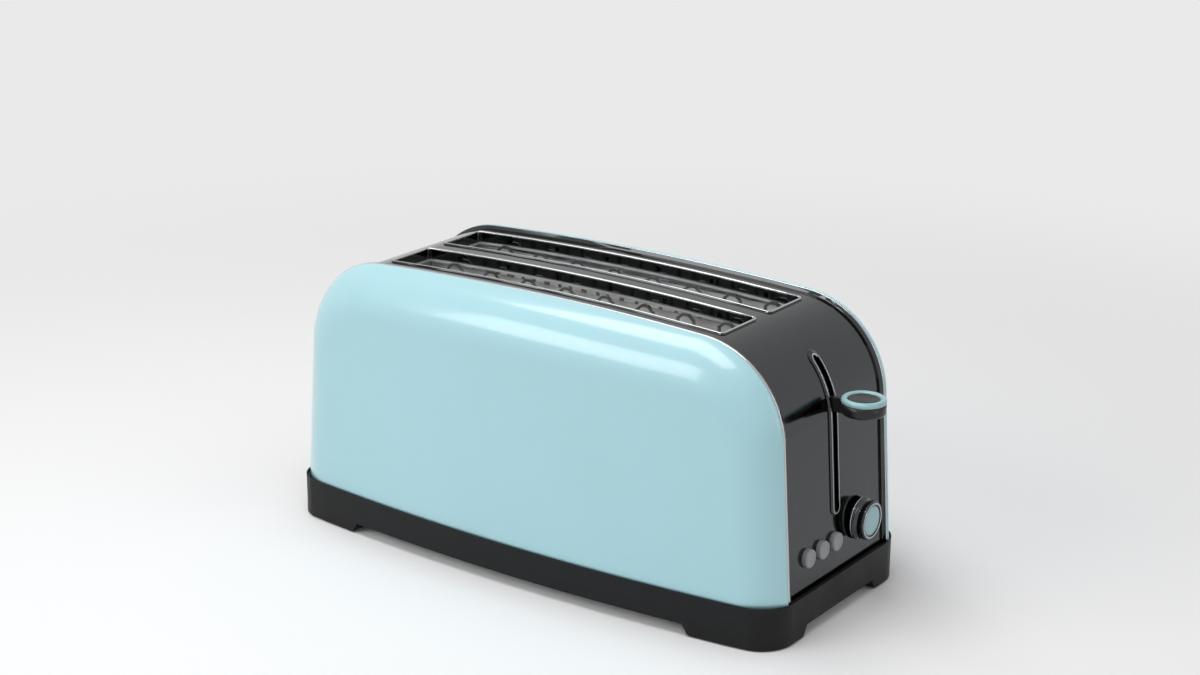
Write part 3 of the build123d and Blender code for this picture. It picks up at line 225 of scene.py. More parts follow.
def moved_copy(name: str, source: Object, rule: Callable[[Array], Array]) -> Object:
    """Makes a piece from a merged copy of a solid's mesh with every point moved by a rule.

    Args:
        name: the piece's name.
        source: the solid's object, left as it is.
        rule: takes and gives points in body millimetres.

    Returns:
        The new object.
    """
    mesh = source.data.copy()
    mesh.name = name
    work = bmesh.new()
    work.from_mesh(mesh)
    bmesh.ops.remove_doubles(work, verts=work.verts, dist=FINE_MERGE * MM)
    work.to_mesh(mesh)
    work.free()
    mesh.vertices.foreach_set("co", to_model(rule(body_points(mesh))).ravel())
    mesh.update()
    mesh.shade_smooth()
    mesh.set_sharp_from_angle(angle=math.radians(SHARP_ANGLE))
    return add_object(name, mesh)


def tube(name: str, path: Array, out: Array, across: Array, radius: float,
         closed: bool = False) -> Object:
    """Round bead along a path: centre plus radius times cosine of out and sine of across.

    Args:
        name: the piece's name.
        path: array of shape (n, 3) with the bead's centre line.
        out: array of shape (n, 3) with one direction square to the path at each point.
        across: the other direction square to the path, one for all points or one for each.
        radius: the bead's radius.
        closed: whether the path joins its own start; an open one gets its ends drawn in to a point.

    Returns:
        The new object.
    """
    turn = np.linspace(0.0, 2.0 * math.pi, BEAD_SIDES, endpoint=False)
    across = np.broadcast_to(across, path.shape)
    ring = np.cos(turn)[None, :, None] * out[:, None, :] + np.sin(turn)[None, :, None] * across[:, None, :]
    size = np.full(len(path), radius)
    if not closed:
        path = np.concatenate([path[:1], path, path[-1:]])
        ring = np.concatenate([ring[:1], ring, ring[-1:]])
        size = np.concatenate([[0.0], size, [0.0]])
    else:
        path, ring, size = (np.concatenate([part, part[:1]]) for part in (path, ring, size))
    points = path[:, None, :] + ring * size[:, None, None]
    return new_piece(name, points.reshape(-1, 3), grid_quads(len(path), BEAD_SIDES, wrap=True))


def arc(centre: Pair, radius: float, start: float, stop: float, count: int = 7) -> Array:
    """Arc in a profile: centre plus radius times cosine and sine of evenly spaced angles in degrees.

    Args:
        centre: distance and radius of the arc's centre.
        radius: radius of the arc.
        start: first angle, in degrees.
        stop: last angle, in degrees.
        count: number of points.

    Returns:
        Array of shape (count, 2).
    """
    angle = np.radians(np.linspace(start, stop, count))
    return beside(centre[0] + radius * np.cos(angle), centre[1] + radius * np.sin(angle))


@dataclass(frozen=True)
class BodyOutline:
    """Side view of the body: leaning ends, round shoulders and a shallow crown, in millimetres."""

    half_length: float = 190.455
    draft: float = 4.2
    shoulder: float = 61.5
    crown: float = 2255.0
    height: float = 187.3
    floor: float = 26.4

    def half(self, counts: tuple[int, int, int]) -> tuple[Array, Array]:
        """Right half from the base to the middle of the crown: a line, an arc and a long arc, tangent.

        Args:
            counts: points on the leaning end, on the shoulder and on the crown.

        Returns:
            Points (x, z) and their outward directions.
        """
        line_count, shoulder_count, crown_count = counts
        lean = math.radians(self.draft)
        out = np.array([math.cos(lean), math.sin(lean)])
        up = np.array([-math.sin(lean), math.cos(lean)])
        reach = self.half_length * math.cos(lean) + self.floor * math.sin(lean)
        start = out * (reach - self.shoulder)
        middle = np.array([0.0, self.height - self.crown])
        gap = start - middle
        half_b = float(gap @ up)
        rest = float(gap @ gap) - (self.crown - self.shoulder) ** 2
        centre = start + up * (math.sqrt(half_b ** 2 - rest) - half_b)
        top_angle = math.atan2(centre[1] - middle[1], centre[0] - middle[0])
        side = centre + out * self.shoulder
        foot = np.array([side[0] + (side[1] - self.floor) * math.tan(lean), self.floor])
        share = np.linspace(0.0, 1.0, line_count)[:, None]
        line = foot + (side - foot) * share
        turn = np.linspace(lean, top_angle, shoulder_count + 1)[1:]
        round_part = centre + self.shoulder * beside(np.cos(turn), np.sin(turn))
        flat = np.linspace(top_angle, math.pi / 2.0, crown_count + 1)[1:]
        crown_part = middle + self.crown * beside(np.cos(flat), np.sin(flat))
        angle = chain(np.full(line_count, lean), turn, flat)
        return chain(line, round_part, crown_part), beside(np.cos(angle), np.sin(angle))

    def whole(self, counts: tuple[int, int, int]) -> tuple[Array, Array]:
        """Whole outline from the right foot over the crown to the left foot, by mirroring the half.

        Args:
            counts: points on each leaning end, on each shoulder and on each half of the crown.

        Returns:
            Points (x, z) and their outward directions.
        """
        points, out = self.half(counts)
        flip = np.array([-1.0, 1.0])
        return chain(points, points[-2::-1] * flip), chain(out, out[-2::-1] * flip)


@dataclass(frozen=True)
class Grain:
    """Fine relief of a finish: how dense, how stretched along each axis and how deep in millimetres."""

    scale: float = 900.0
    stretch: Triple = (1.0, 1.0, 1.0)
    depth: float = 0.01
    detail: float = 3.0


@dataclass(frozen=True)
class Finish:
    """One finish: colours, gloss and wear, with small changes over the surface."""

    slot: str
    colour: Triple
    roughness: float
    metallic: float = 0.0
    worn: Triple = (0.7, 0.7, 0.7)
    wear: float = 0.2
    drift: float = 0.04
    drift_scale: float = 18.0
    spread: float = 0.05
    coat: float = 0.0
    coat_roughness: float = 0.05
    specular: float = 0.5
    grain: Grain = field(default_factory=Grain)


class Effects:
    """Shared shader groups, each made once: colour drift, edge wear, uneven gloss and fine relief."""

    NOISE_SWING = (0.3, 0.7)
    DRIFT_DETAIL = 4.0
    POINTED = (0.53, 0.62)
    WEAR_SCALE = 160.0
    WEAR_BREAK = (0.45, 0.65)
    GLOSS_SCALE = 45.0
    GLOSS_DETAIL = 6.0

    def __init__(self) -> None:
        """Builds the four groups."""
        self.drift = self._drift()
        self.wear = self._wear()
        self.gloss = self._gloss()
        self.relief = self._relief()

    @staticmethod
    def _group(name: str, output: tuple[str, str], inputs: dict[str, str]) -> tuple[NodeTree, dict, Node]:
        """Makes an empty group with its sockets.

        Args:
            name: the group's name.
            output: name and kind of the one output.
            inputs: socket name to kind of socket.

        Returns:
            The group, the sockets that give its inputs, by name, and the node that takes its output.
        """
        tree = bpy.data.node_groups.new(name, "ShaderNodeTree")
        for label, kind in inputs.items():
            tree.interface.new_socket(name=label, in_out="INPUT", socket_type=f"NodeSocket{kind}")
        tree.interface.new_socket(name=output[0], in_out="OUTPUT", socket_type=f"NodeSocket{output[1]}")
        return tree, tree.nodes.new("NodeGroupInput").outputs, tree.nodes.new("NodeGroupOutput")

    @staticmethod
    def _range(tree: NodeTree, low: float, high: float, to_low: float = 0.0, to_high: float = 1.0) -> Node:
        """Map Range node: a straight line from the first pair of numbers to the second."""
        return add_node(tree, "MapRange", dict(enumerate((low, high, to_low, to_high), start=1)))

    @staticmethod
    def _noise(tree: NodeTree, place: NodeSocket, **settings: float) -> Node:
        """Noise read at a place, with its other inputs set by name."""
        noise = add_node(tree, "TexNoise", settings)
        wire(place, noise, "Vector")
        return noise

    def _drift(self) -> NodeTree:
        """Colour times one plus the amount times a slow noise from -1 to 1."""
        tree, given, result = self._group("colour_drift", ("Colour", "Color"), {
            "Vector": "Vector", "Colour": "Color", "Amount": "Float", "Scale": "Float"})
        noise = self._noise(tree, given["Vector"], Detail=self.DRIFT_DETAIL)
        spread = self._range(tree, *self.NOISE_SWING, to_low=-1.0)
        amount = add_node(tree, "Math", {2: 1.0}, operation="MULTIPLY_ADD")
        scale = add_node(tree, "VectorMath", operation="SCALE")
        wire(given["Scale"], noise, "Scale")
        wire(noise, spread)
        wire(spread, amount)
        wire(given["Amount"], amount, 1)
        wire(given["Colour"], scale)
        wire(amount, scale, "Scale")
        wire(scale, result)
        return tree

    def _wear(self) -> NodeTree:
        """Mixes towards the worn colour where the surface is pointed, broken up by a noise."""
        tree, given, result = self._group("edge_wear", ("Colour", "Color"), {
            "Vector": "Vector", "Colour": "Color", "Worn": "Color", "Amount": "Float"})
        shape = add_node(tree, "NewGeometry")
        edge = self._range(tree, *self.POINTED)
        noise = self._noise(tree, given["Vector"], Scale=self.WEAR_SCALE)
        broken = self._range(tree, *self.WEAR_BREAK)
        both = add_node(tree, "Math", operation="MULTIPLY")
        part = add_node(tree, "Math", operation="MULTIPLY")
        mix = add_node(tree, "Mix", data_type="RGBA")
        wire(shape.outputs["Pointiness"], edge)
        wire(noise, broken)
        wire(edge, both)
        wire(broken, both, 1)
        wire(both, part)
        wire(given["Amount"], part, 1)
        wire(part, mix)
        wire(given["Colour"], mix, 6)
        wire(given["Worn"], mix, 7)
        wire(mix.outputs[2], result)
        return tree

    def _gloss(self) -> NodeTree:
        """Roughness plus the spread times a blotchy noise from -1 to 1."""
        tree, given, result = self._group("uneven_gloss", ("Roughness", "Float"), {
            "Vector": "Vector", "Roughness": "Float", "Spread": "Float"})
        noise = self._noise(tree, given["Vector"], Scale=self.GLOSS_SCALE, Detail=self.GLOSS_DETAIL)
        spread = self._range(tree, *self.NOISE_SWING, to_low=-1.0)
        total = add_node(tree, "Math", operation="MULTIPLY_ADD")
        wire(noise, spread)
        wire(spread, total)
        wire(given["Spread"], total, 1)
        wire(given["Roughness"], total, 2)
        wire(total, result)
        return tree

    def _relief(self) -> NodeTree:
        """Height of the grain: a noise read in coordinates stretched along each axis."""
        tree, given, result = self._group("fine_relief", ("Height", "Float"), {
            "Vector": "Vector", "Stretch": "Vector", "Scale": "Float", "Detail": "Float"})
        stretch = add_node(tree, "VectorMath", operation="MULTIPLY")
        noise = self._noise(tree, stretch.outputs[0])
        wire(given["Vector"], stretch)
        wire(given["Stretch"], stretch, 1)
        wire(given["Scale"], noise, "Scale")
        wire(given["Detail"], noise, "Detail")
        wire(noise, result)
        return tree


class Palette:
    """All finishes of the toaster, one material for each of the record's slots."""

    FINISHES = (
        Finish("painted_panel", (0.372, 0.628, 0.685), 0.24, worn=(0.5, 0.72, 0.76), wear=0.05, drift=0.012,
               spread=0.02, coat=0.6, coat_roughness=0.09, grain=Grain(260.0, depth=0.004, detail=2.0)),
        # dark chrome's slow colour drift is partly tint variation and partly painted reflection: a wavy
        # lighter and darker pattern standing in for the band's mirrored surroundings.
        Finish("dark_chrome", (0.064, 0.067, 0.069), 0.1, 1.0, (0.3, 0.3, 0.3), 0.06, 0.03, 12.0, 0.03,
               grain=Grain(700.0, (0.25, 6.0, 0.25), 0.003, 4.0)),
        Finish("bright_chrome", (0.50, 0.51, 0.52), 0.1, 1.0, (0.9, 0.9, 0.9), 0.1, 0.02, 30.0, 0.03,
               grain=Grain(900.0, depth=0.003, detail=3.0)),
        Finish("black_plastic", (0.008, 0.0083, 0.009), 0.46, worn=(0.04, 0.04, 0.042), wear=0.08, drift=0.08,
               spread=0.05, specular=0.2, grain=Grain(1500.0, depth=0.035, detail=2.0)),
        Finish("lever_black", (0.009, 0.009, 0.01), 0.3, worn=(0.05, 0.05, 0.05), wear=0.1, drift=0.08,
               spread=0.04, specular=0.4, grain=Grain(1100.0, depth=0.008, detail=2.0)),
        # accent_blue is mixed darker than the panel paint: painted shade for the browning knob's disc, which
        # faces the toaster's dim +X end.
        Finish("accent_blue", (0.27, 0.47, 0.50), 0.26, worn=(0.4, 0.6, 0.62), wear=0.08, drift=0.02,
               spread=0.03, coat=0.3, coat_roughness=0.1, grain=Grain(700.0, depth=0.005, detail=2.0)),
        Finish("button_grey", (0.26, 0.265, 0.27), 0.34, worn=(0.4, 0.4, 0.4), wear=0.1, drift=0.03,
               spread=0.04, grain=Grain(1400.0, depth=0.006, detail=2.0)),
        Finish("galvanised_steel", (0.66, 0.67, 0.68), 0.45, 0.7, (0.8, 0.8, 0.8), 0.1, 0.08, 60.0, 0.1,
               grain=Grain(420.0, depth=0.012, detail=5.0)),
        Finish("spring_steel", (0.36, 0.36, 0.375), 0.32, 1.0, (0.6, 0.6, 0.6), 0.3, 0.1, 40.0, 0.08,
               grain=Grain(900.0, (1.0, 1.0, 0.2), 0.01, 4.0)),
        Finish("mica", (0.84, 0.84, 0.82), 0.55, worn=(0.9, 0.89, 0.86), wear=0.1, drift=0.1,
               drift_scale=70.0, spread=0.1, grain=Grain(380.0, depth=0.05, detail=6.0)),
        Finish("heater_alloy", (0.36, 0.335, 0.31), 0.5, 0.8, (0.5, 0.47, 0.44), 0.2, 0.12, 80.0, 0.1,
               grain=Grain(900.0, (0.3, 1.0, 1.0), 0.01, 4.0)),
        Finish("rubber", (0.02, 0.02, 0.02), 0.72, worn=(0.07, 0.07, 0.07), wear=0.4, drift=0.2, spread=0.08,
               grain=Grain(1200.0, depth=0.03, detail=3.0)),
        Finish("circuit_board", (0.05, 0.19, 0.1), 0.4, worn=(0.5, 0.42, 0.22), wear=0.4, drift=0.2,
               drift_scale=120.0, spread=0.08, grain=Grain(700.0, depth=0.02, detail=2.0)),
        Finish("white_plastic", (0.72, 0.72, 0.69), 0.45, worn=(0.8, 0.8, 0.78), wear=0.2, drift=0.05,
               spread=0.06, grain=Grain(1100.0, depth=0.015, detail=2.0)),
    )

    def __init__(self) -> None:
        """Builds the shared groups and every material."""
        self.effects = Effects()
        self.materials = {finish.slot: self._material(finish) for finish in self.FINISHES}

    def _material(self, finish: Finish) -> Material:
        """Makes one finish's material from the shared groups.

        Args:
            finish: the finish.

        Returns:
            The new material.
        """
        material = bpy.data.materials.new(finish.slot)
        material.use_nodes = True
        tree = material.node_tree
        tree.nodes.clear()
        place = add_node(tree, "TexCoord").outputs["Object"]
        effects, grain = self.effects, finish.grain
        shader = add_node(tree, "BsdfPrincipled", {
            "Metallic": finish.metallic, "Coat Weight": finish.coat,
            "Coat Roughness": finish.coat_roughness, "Specular IOR Level": finish.specular})
        drift = self._place(effects.drift, place, {
            "Colour": (*finish.colour, 1.0), "Amount": finish.drift, "Scale": finish.drift_scale})
        wear = self._place(effects.wear, place, {"Worn": (*finish.worn, 1.0), "Amount": finish.wear})
        gloss = self._place(effects.gloss, place, {
            "Roughness": finish.roughness, "Spread": finish.spread})
        relief = self._place(effects.relief, place, {
            "Stretch": grain.stretch, "Scale": grain.scale, "Detail": grain.detail})
        bump = add_node(tree, "Bump", {"Strength": 1.0, "Distance": grain.depth * MM})
        wire(drift, wear, "Colour")
        wire(wear, shader, "Base Color")
        wire(gloss, shader, "Roughness")
        wire(relief, bump, "Height")
        wire(bump, shader, "Normal")
        wire(shader, add_node(tree, "OutputMaterial"))
        return material

    @staticmethod
    def _place(group: NodeTree, place: NodeSocket, inputs: dict) -> Node:
        """Puts a shared group into a material, sets it and feeds it the object's own coordinates."""
        node = add_node(place.id_data, "Group", inputs, node_tree=group)
        wire(place, node, "Vector")
        return node

    def dress(self, obj: Object, slot: str) -> None:
        """Gives an object one finish in every one of its material slots."""
        if not obj.material_slots:
            obj.data.materials.append(self.materials[slot])
        for place in obj.material_slots:
            place.material = self.materials[slot]


class Workshop:
    """Hands new pieces to the frame: finish, body and the solid that each stands for."""

    DARKENED = {"lever_arm": "lever_black"}

    def __init__(self, frame: dict, palette: Palette) -> None:
        """Keeps the frame and the palette, and reads which body and finish each node has."""
        self.frame = frame
        self.palette = palette
        record = frame["record"]
        bodies = record["behaviour"]["bodies"]
        self.body_of = {node: body for body, nodes in bodies.items() for node in nodes}
        self.slot_of = {part["node"]: part["material_slot"] for part in record["subparts"]}
        self.replaced: set[str] = set()

    def fit(self, piece: Object, node: str, slot: str | None = None, stands_for: bool = True) -> None:
        """Dresses a piece, lets it ride on a node's body and, unless told otherwise, replaces that node.

        Args:
            piece: the new piece.
            node: the node whose body it rides on.
            slot: the finish, or None for the node's own.
            stands_for: whether the piece replaces the node.
        """
        finish = slot or self.slot_of[node]
        self.palette.dress(piece, finish)
        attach(piece, self.body_of[node])
        if stands_for:
            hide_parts(node)
            self.replaced.add(node)
        LOG.info("%s rides on %s in %s", piece.name, self.body_of[node], finish)

    def dress_nodes(self) -> None:
        """Gives every remaining solid its own finish, or the darker one that the photo shows."""
        for node, obj in self.frame["nodes"].items():
            if node not in self.replaced:
                self.palette.dress(obj, self.DARKENED.get(node, self.slot_of[node]))
        LOG.info("%d solids dressed", len(self.frame["nodes"]) - len(self.replaced))


@dataclass
class SidePanels:
    """Two painted side panels: bowed in plan, with a wide round to the top and a tighter one to the ends."""

    shop: Workshop
    outline: BodyOutline = field(default_factory=BodyOutline)
    seam_y: float = 61.0
    middle_y: float = 90.0
    bow: float = 1415.5
    end_round: float = 27.0
    top_round: float = 34.0
    lip: float = 1.0
    flange: float = 5.0
    thickness: float = 1.0
    lip_steps: int = 5
    latest_start: float = 0.6
    rings: int = 18
    counts: tuple[int, int, int] = (26, 36, 40)

    def _face_y(self, x: Array) -> Array:
        """Depth of the panel's face along the toaster: a circle's arc, deepest in the middle."""
        return self.middle_y - self.bow + np.sqrt(self.bow ** 2 - x ** 2)

    def _points(self) -> tuple[Array, Array]:
        """Panel surface for the +Y side.

        The rim goes round part of a circle from the seam to the face. Its first angle is the one whose
        sine is one minus the panel's depth over the radius, so a shallow end starts further round. Inset
        is the radius times the first cosine less the present one, and depth grows with the sine. Inside
        the last ring, a Coons patch fills the face.

        Returns:
            Points and quads.
        """
        edge, out = self.outline.whole(self.counts)
        lift = np.clip(out[:, 1], 0.0, 1.0)
        blend = lift * lift * (3.0 - 2.0 * lift)
        radius = self.end_round + (self.top_round - self.end_round) * blend
        start_y = self.seam_y + self.lip
        rows = [(edge - out * self.flange, np.full(len(edge), self.seam_y))]
        for angle in np.radians(np.linspace(0.0, 90.0, self.lip_steps)):
            rows.append((edge - out * self.lip * (1.0 - math.sin(angle)),
                         np.full(len(edge), start_y - self.lip * math.cos(angle))))
        deepest = self._face_y(edge[:, 0] - out[:, 0] * radius) - start_y
        first = np.arcsin(np.clip(1.0 - deepest / radius, 0.0, self.latest_start))
        tall = radius * (1.0 - np.sin(first))
        for share in np.linspace(0.0, 1.0, self.rings + 1)[1:]:
            angle = first + (0.5 * math.pi - first) * share
            flat = edge - out * (radius * (np.cos(first) - np.cos(angle)))[:, None]
            rise = (np.sin(angle) - np.sin(first)) / (1.0 - np.sin(first))
            depth = start_y + tall * rise + (deepest - tall) * rise
            bend = self._face_y(flat[:, 0]) - start_y - deepest
            rows.append((flat, depth + bend * rise))
        for flat, _ in rows:
            flat[[0, -1], 1] = self.outline.floor
        rim = chain(*(beside(flat[:, 0], depth, flat[:, 1]) for flat, depth in rows))
        quads = grid_quads(len(rows), len(edge))
        last = rows[-1][0]
        corner = self.counts[0] + self.counts[1] // 2
        right, left = last[: corner + 1], last[::-1][: corner + 1]
        top = last[corner: len(last) - corner]
        u = np.linspace(0.0, 1.0, len(top))[None, :, None]
        v = ((right[:, 1] - right[0, 1]) / (right[-1, 1] - right[0, 1]))[:, None, None]
        bottom = right[0] + (left[0] - right[0]) * u[0]
        ruled = (1.0 - v) * bottom[None] + v * top[None] + (1.0 - u) * right[:, None] + u * left[:, None]
        low_ends = (1.0 - u) * (1.0 - v) * right[0] + u * (1.0 - v) * left[0]
        ends = low_ends + (1.0 - u) * v * right[-1] + u * v * left[-1]
        flat = (ruled - ends).reshape(-1, 2)
        face = beside(flat[:, 0], self._face_y(flat[:, 0]), flat[:, 1])
        return chain(rim, face), chain(quads, grid_quads(len(right), len(top)) + len(rim))

    def build(self) -> None:
        """Makes both panels and gives each its wall."""
        points, quads = self._points()
        for side, node in ((Side.FRONT, "front_side_panel"), (Side.REAR, "rear_side_panel")):
            placed = points * np.array([1.0, side.value, 1.0])
            piece = new_piece(f"{node}_skin", placed, quads, Vector((0.0, side.value, 0.0)))
            wall = piece.modifiers.new("wall", "SOLIDIFY")
            wall.thickness = self.thickness * MM
            wall.offset = -1.0
            self.shop.fit(piece, node)


@dataclass
class BaseForm:
    """Base and its bottom plate: straight walls, a lower top edge and rounder corners than the solids have.

    Every point of a merged copy of the solid moves by one rule, so both keep their fit to each other.
    Below the level and inside the core nothing moves, which keeps the crumb tray's room. Further out,
    screw holes and pad recesses shift by up to 2.4 mm, where only a view from below shows it.
    """

    shop: Workshop
    nodes: tuple[str, ...] = ("base_housing", "bottom_plate")
    solid_half: Pair = (194.0, 101.0)
    solid_taper: Pair = (1.0, 6.5)
    solid_bow: float = 1200.0
    solid_corner: float = 21.0
    solid_top: float = 32.6
    foot: float = 1.0
    half: Pair = (191.5, 91.5)
    bow: float = 1417.0
    corner: float = 24.0
    top: float = 26.4
    level: float = 22.0
    core: Pair = (150.0, 56.6)

    @staticmethod
    def _edge(x: Array, length: Array, depth: Array, bow: Array,
              corner: float) -> Array:
        """Half depth of a bowed plan: the bow's arc, less the corner's arc past its start.

        Args:
            x: places along the toaster, 0 or more.
            length: half length of the plan.
            depth: half depth in the middle.
            bow: radius of the bow.
            corner: radius of the corner.

        Returns:
            The half depth at each place.
        """
        start = length - corner
        past = np.clip(x - start, 0.0, corner)
        along = np.minimum(x, start)
        return depth - bow + np.sqrt(bow ** 2 - along ** 2) - corner + np.sqrt(corner ** 2 - past ** 2)

    def _moved(self, points: Array) -> Array:
        """New places: past the core, each point keeps its share of the way to the wall.

        Heights between the level and the solid's top shrink evenly to the new top.

        Args:
            points: array of shape (n, 3) in body millimetres.

        Returns:
            The moved points.
        """
        x, y, z = np.abs(points[:, 0]), np.abs(points[:, 1]), points[:, 2]
        share = np.clip((self.solid_top - z) / (self.solid_top - self.foot), 0.0, 1.0)
        old_length = self.solid_half[0] - self.solid_taper[0] * share
        sunk = self.solid_taper[1] * share
        old_edge = self._edge(x, old_length, self.solid_half[1] - sunk, self.solid_bow - sunk,
                              self.solid_corner)
        squeeze = (self.half[0] - self.core[0]) / (old_length - self.core[0])
        new_x = np.where(x > self.core[0], self.core[0] + (x - self.core[0]) * squeeze, x)
        length, depth, bow = (np.full(len(x), size) for size in (*self.half, self.bow))
        new_edge = self._edge(np.minimum(new_x, length), length, depth, bow, self.corner)
        narrow = (new_edge - self.core[1]) / (old_edge - self.core[1])
        new_y = np.where(y > self.core[1], self.core[1] + (y - self.core[1]) * narrow, y)
        lower = (self.top - self.level) / (self.solid_top - self.level)
        new_z = np.where(z > self.level, self.level + (z - self.level) * lower, z)
        new_z = np.where(z > self.solid_top, self.top + z - self.solid_top, new_z)
        return beside(np.sign(points[:, 0]) * new_x, np.sign(points[:, 1]) * new_y, new_z)

    def build(self) -> None:
        """Makes both pieces from their solids."""
        for node in self.nodes:
            piece = moved_copy(f"{node}_form", self.shop.frame["nodes"][node], self._moved)
            even = piece.modifiers.new("even_shading", "WEIGHTED_NORMAL")
            even.keep_sharp = True
            self.shop.fit(piece, node)


@dataclass
class Band:
    """Dark band over the ends and the top: it reaches down to the lower base, with beads and rims in bright
    chrome as painted highlights on its rolled edges.
    """

    shop: Workshop
    outline: BodyOutline = field(default_factory=BodyOutline)
    solid_foot: float = 32.6
    seam_y: float = 59.85
    bead_radius: float = 0.95
    bead_sink: float = 0.98
    surface_sink: float = 2.5
    slot_half: Pair = (129.0, 19.5)
    slot_y: float = 27.0
    slot_corner: float = 3.0
    rim_radius: float = 0.8
    rim_rise: float = 0.35
    lever_half_width: float = 3.6
    lever_ends: Pair = (65.5, 165.1)
    lever_sink: float = 2.0
    foot_margin: float = 0.5
    depth_play: float = 0.2
    least_facing: float = 0.95
    arc_points: int = 7
    run_steps: int = 12
    turn_points: int = 13
    tall_points: int = 38
    bead_counts: tuple[int, int, int] = (26, 36, 60)
    rim_counts: tuple[int, int, int] = (60, 200, 60)
    shade_counts: tuple[int, int, int] = (300, 500, 500)

    def _moved(self, points: Array) -> Array:
        """Lowers the foot along the leaning end: down, and outward by the draft's tangent."""
        drop = self.solid_foot - self.outline.floor
        at_foot = points[:, 2] < self.solid_foot + self.foot_margin
        lean = math.tan(math.radians(self.outline.draft)) * drop
        side = np.sign(points[:, 0])
        shift = beside(side * lean, np.zeros(len(side)), np.full(len(side), -drop))
        return points + np.where(at_foot[:, None], shift, 0.0)

    def _smooth(self, piece: Object) -> None:
        """Shades the outer sheet by the outline's own direction, so that long facets mirror evenly.

        A face's corner counts where it lies the band's sink below the outline and the face looks the
        outline's way. Every other corner keeps its worked-out direction.

        Args:
            piece: the band.
        """
        mesh = piece.data
        count = len(mesh.loops)
        points = body_points(mesh)[:, [0, 2]]
        edge, out = self.outline.whole(self.shade_counts)
        near = np.argmin(((points[:, None] - edge[None]) ** 2).sum(axis=2), axis=1)
        depth = np.linalg.norm(points - edge[near], axis=1)
        corner = np.empty(count, dtype=np.int32)
        mesh.loops.foreach_get("vertex_index", corner)
        faces = np.empty(len(mesh.polygons) * 3)
        mesh.polygons.foreach_get("normal", faces)
        totals = np.empty(len(mesh.polygons), dtype=np.int32)
        mesh.polygons.foreach_get("loop_total", totals)
        face_out = np.repeat(faces.reshape(-1, 3), totals, axis=0)
        ideal = beside(out[near[corner], 0], np.zeros(count), out[near[corner], 1])
        facing = (face_out * ideal).sum(axis=1) > self.least_facing
        outer = (np.abs(depth[corner] - self.surface_sink) < self.depth_play) & facing
        mesh.normals_split_custom_set(np.where(outer[:, None], ideal, 0.0).tolist())
        LOG.info("%s: %d of %d corners follow the outline", piece.name, int(outer.sum()), count)

    def _slot_rim(self, middle: float) -> tuple[Array, Array]:
        """Path round one slot: four straight runs and four quarter circles, laid on the crown's arc.

        Args:
            middle: the slot's middle in Y.

        Returns:
            Points of the path and their outward directions.
        """
        path, out = [], []
        for i, (sx, sy) in enumerate(((1, 1), (-1, 1), (-1, -1), (1, -1))):
            angle = np.radians(np.linspace(90.0 * i, 90.0 * i + 90.0, self.arc_points))
            away = beside(np.cos(angle), np.sin(angle), np.zeros(self.arc_points))
            corner = np.array([sx * (self.slot_half[0] - self.slot_corner),
                               middle + sy * (self.slot_half[1] - self.slot_corner), 0.0])
            path.append(corner + away * self.slot_corner)
            out.append(away)
        path, out = chain(*path), chain(*out)
        step = np.linspace(0.0, 1.0, self.run_steps + 1)[:-1, None]
        path = chain(*(a + (b - a) * step for a, b in zip(path, np.roll(path, -1, axis=0))))
        out = np.repeat(out, self.run_steps, axis=0)
        crown = self.outline.crown
        path[:, 2] = (self.outline.height - self.surface_sink + self.rim_rise - crown
                      + np.sqrt(crown ** 2 - path[:, 0] ** 2))
        return path, out

    def _lever_rim(self) -> tuple[Array, Array, Array]:
        """Path round the lever's slot: two tall runs and two half circles, laid on the end and the shoulder.

        Returns:
            Points of the path, the surface's direction there and the direction square to both.
        """
        wide = self.lever_half_width
        low, high = self.lever_ends[0] + wide, self.lever_ends[1] - wide
        half_turn = np.linspace(0.0, math.pi, self.turn_points)
        rise = np.linspace(low, high, self.tall_points + 2)[1:-1]
        cosine, sine = wide * np.cos(half_turn), wide * np.sin(half_turn)
        run = np.full(self.tall_points, wide)
        y = chain(cosine, -run, -cosine, run)
        z = chain(high + sine, rise[::-1], low - sine, rise)
        edge, out = self.outline.half(self.rim_counts)
        reach, out_x, out_z = (np.interp(z, edge[:, 1], part) for part in (edge[:, 0], *out.T))
        away = beside(out_x, np.zeros(len(z)), out_z)
        path = beside(reach, y, z) - away * self.lever_sink
        along = np.roll(path, -1, axis=0) - np.roll(path, 1, axis=0)
        across = np.cross(along, away)
        return path, away, across / np.linalg.norm(across, axis=1, keepdims=True)

    def build(self) -> None:
        """Makes the band, its two beads and the rims of the bread slots and the lever's slot; beads and rims
        are bright chrome as painted highlights.
        """
        band = moved_copy("band_form", self.shop.frame["nodes"]["chrome_band"], self._moved)
        self._smooth(band)
        self.shop.fit(band, "chrome_band")
        path, away, across = self._lever_rim()
        # The lever slot's embossed rim in bright chrome: a painted highlight on the band's own edge.
        rim = tube("lever_slot_rim_highlight", path, away, across, self.rim_radius, True)
        self.shop.fit(rim, "chrome_band", "bright_chrome", stands_for=False)
        edge, out = self.outline.whole(self.bead_counts)
        flat = edge - out * self.bead_sink
        sideways, upright = np.eye(3)[1:]
        for side in Side:
            path = beside(flat[:, 0], np.full(len(edge), side.value * self.seam_y), flat[:, 1])
            away = beside(out[:, 0], np.zeros(len(edge)), out[:, 1])
            # Each bead is the band's rolled edge in bright chrome: a painted highlight along the dark band.
            bead = tube(f"band_bead_highlight_{side.name.lower()}", path, away, sideways, self.bead_radius)
            self.shop.fit(bead, "chrome_band", "bright_chrome", stands_for=False)
            # The bread slot's rolled rim in bright chrome: a painted highlight on the band's own edge.
            path, away = self._slot_rim(side.value * self.slot_y)
            rim = tube(f"slot_rim_{side.name.lower()}", path, away, upright, self.rim_radius, True)
            self.shop.fit(rim, "chrome_band", "bright_chrome", stands_for=False)


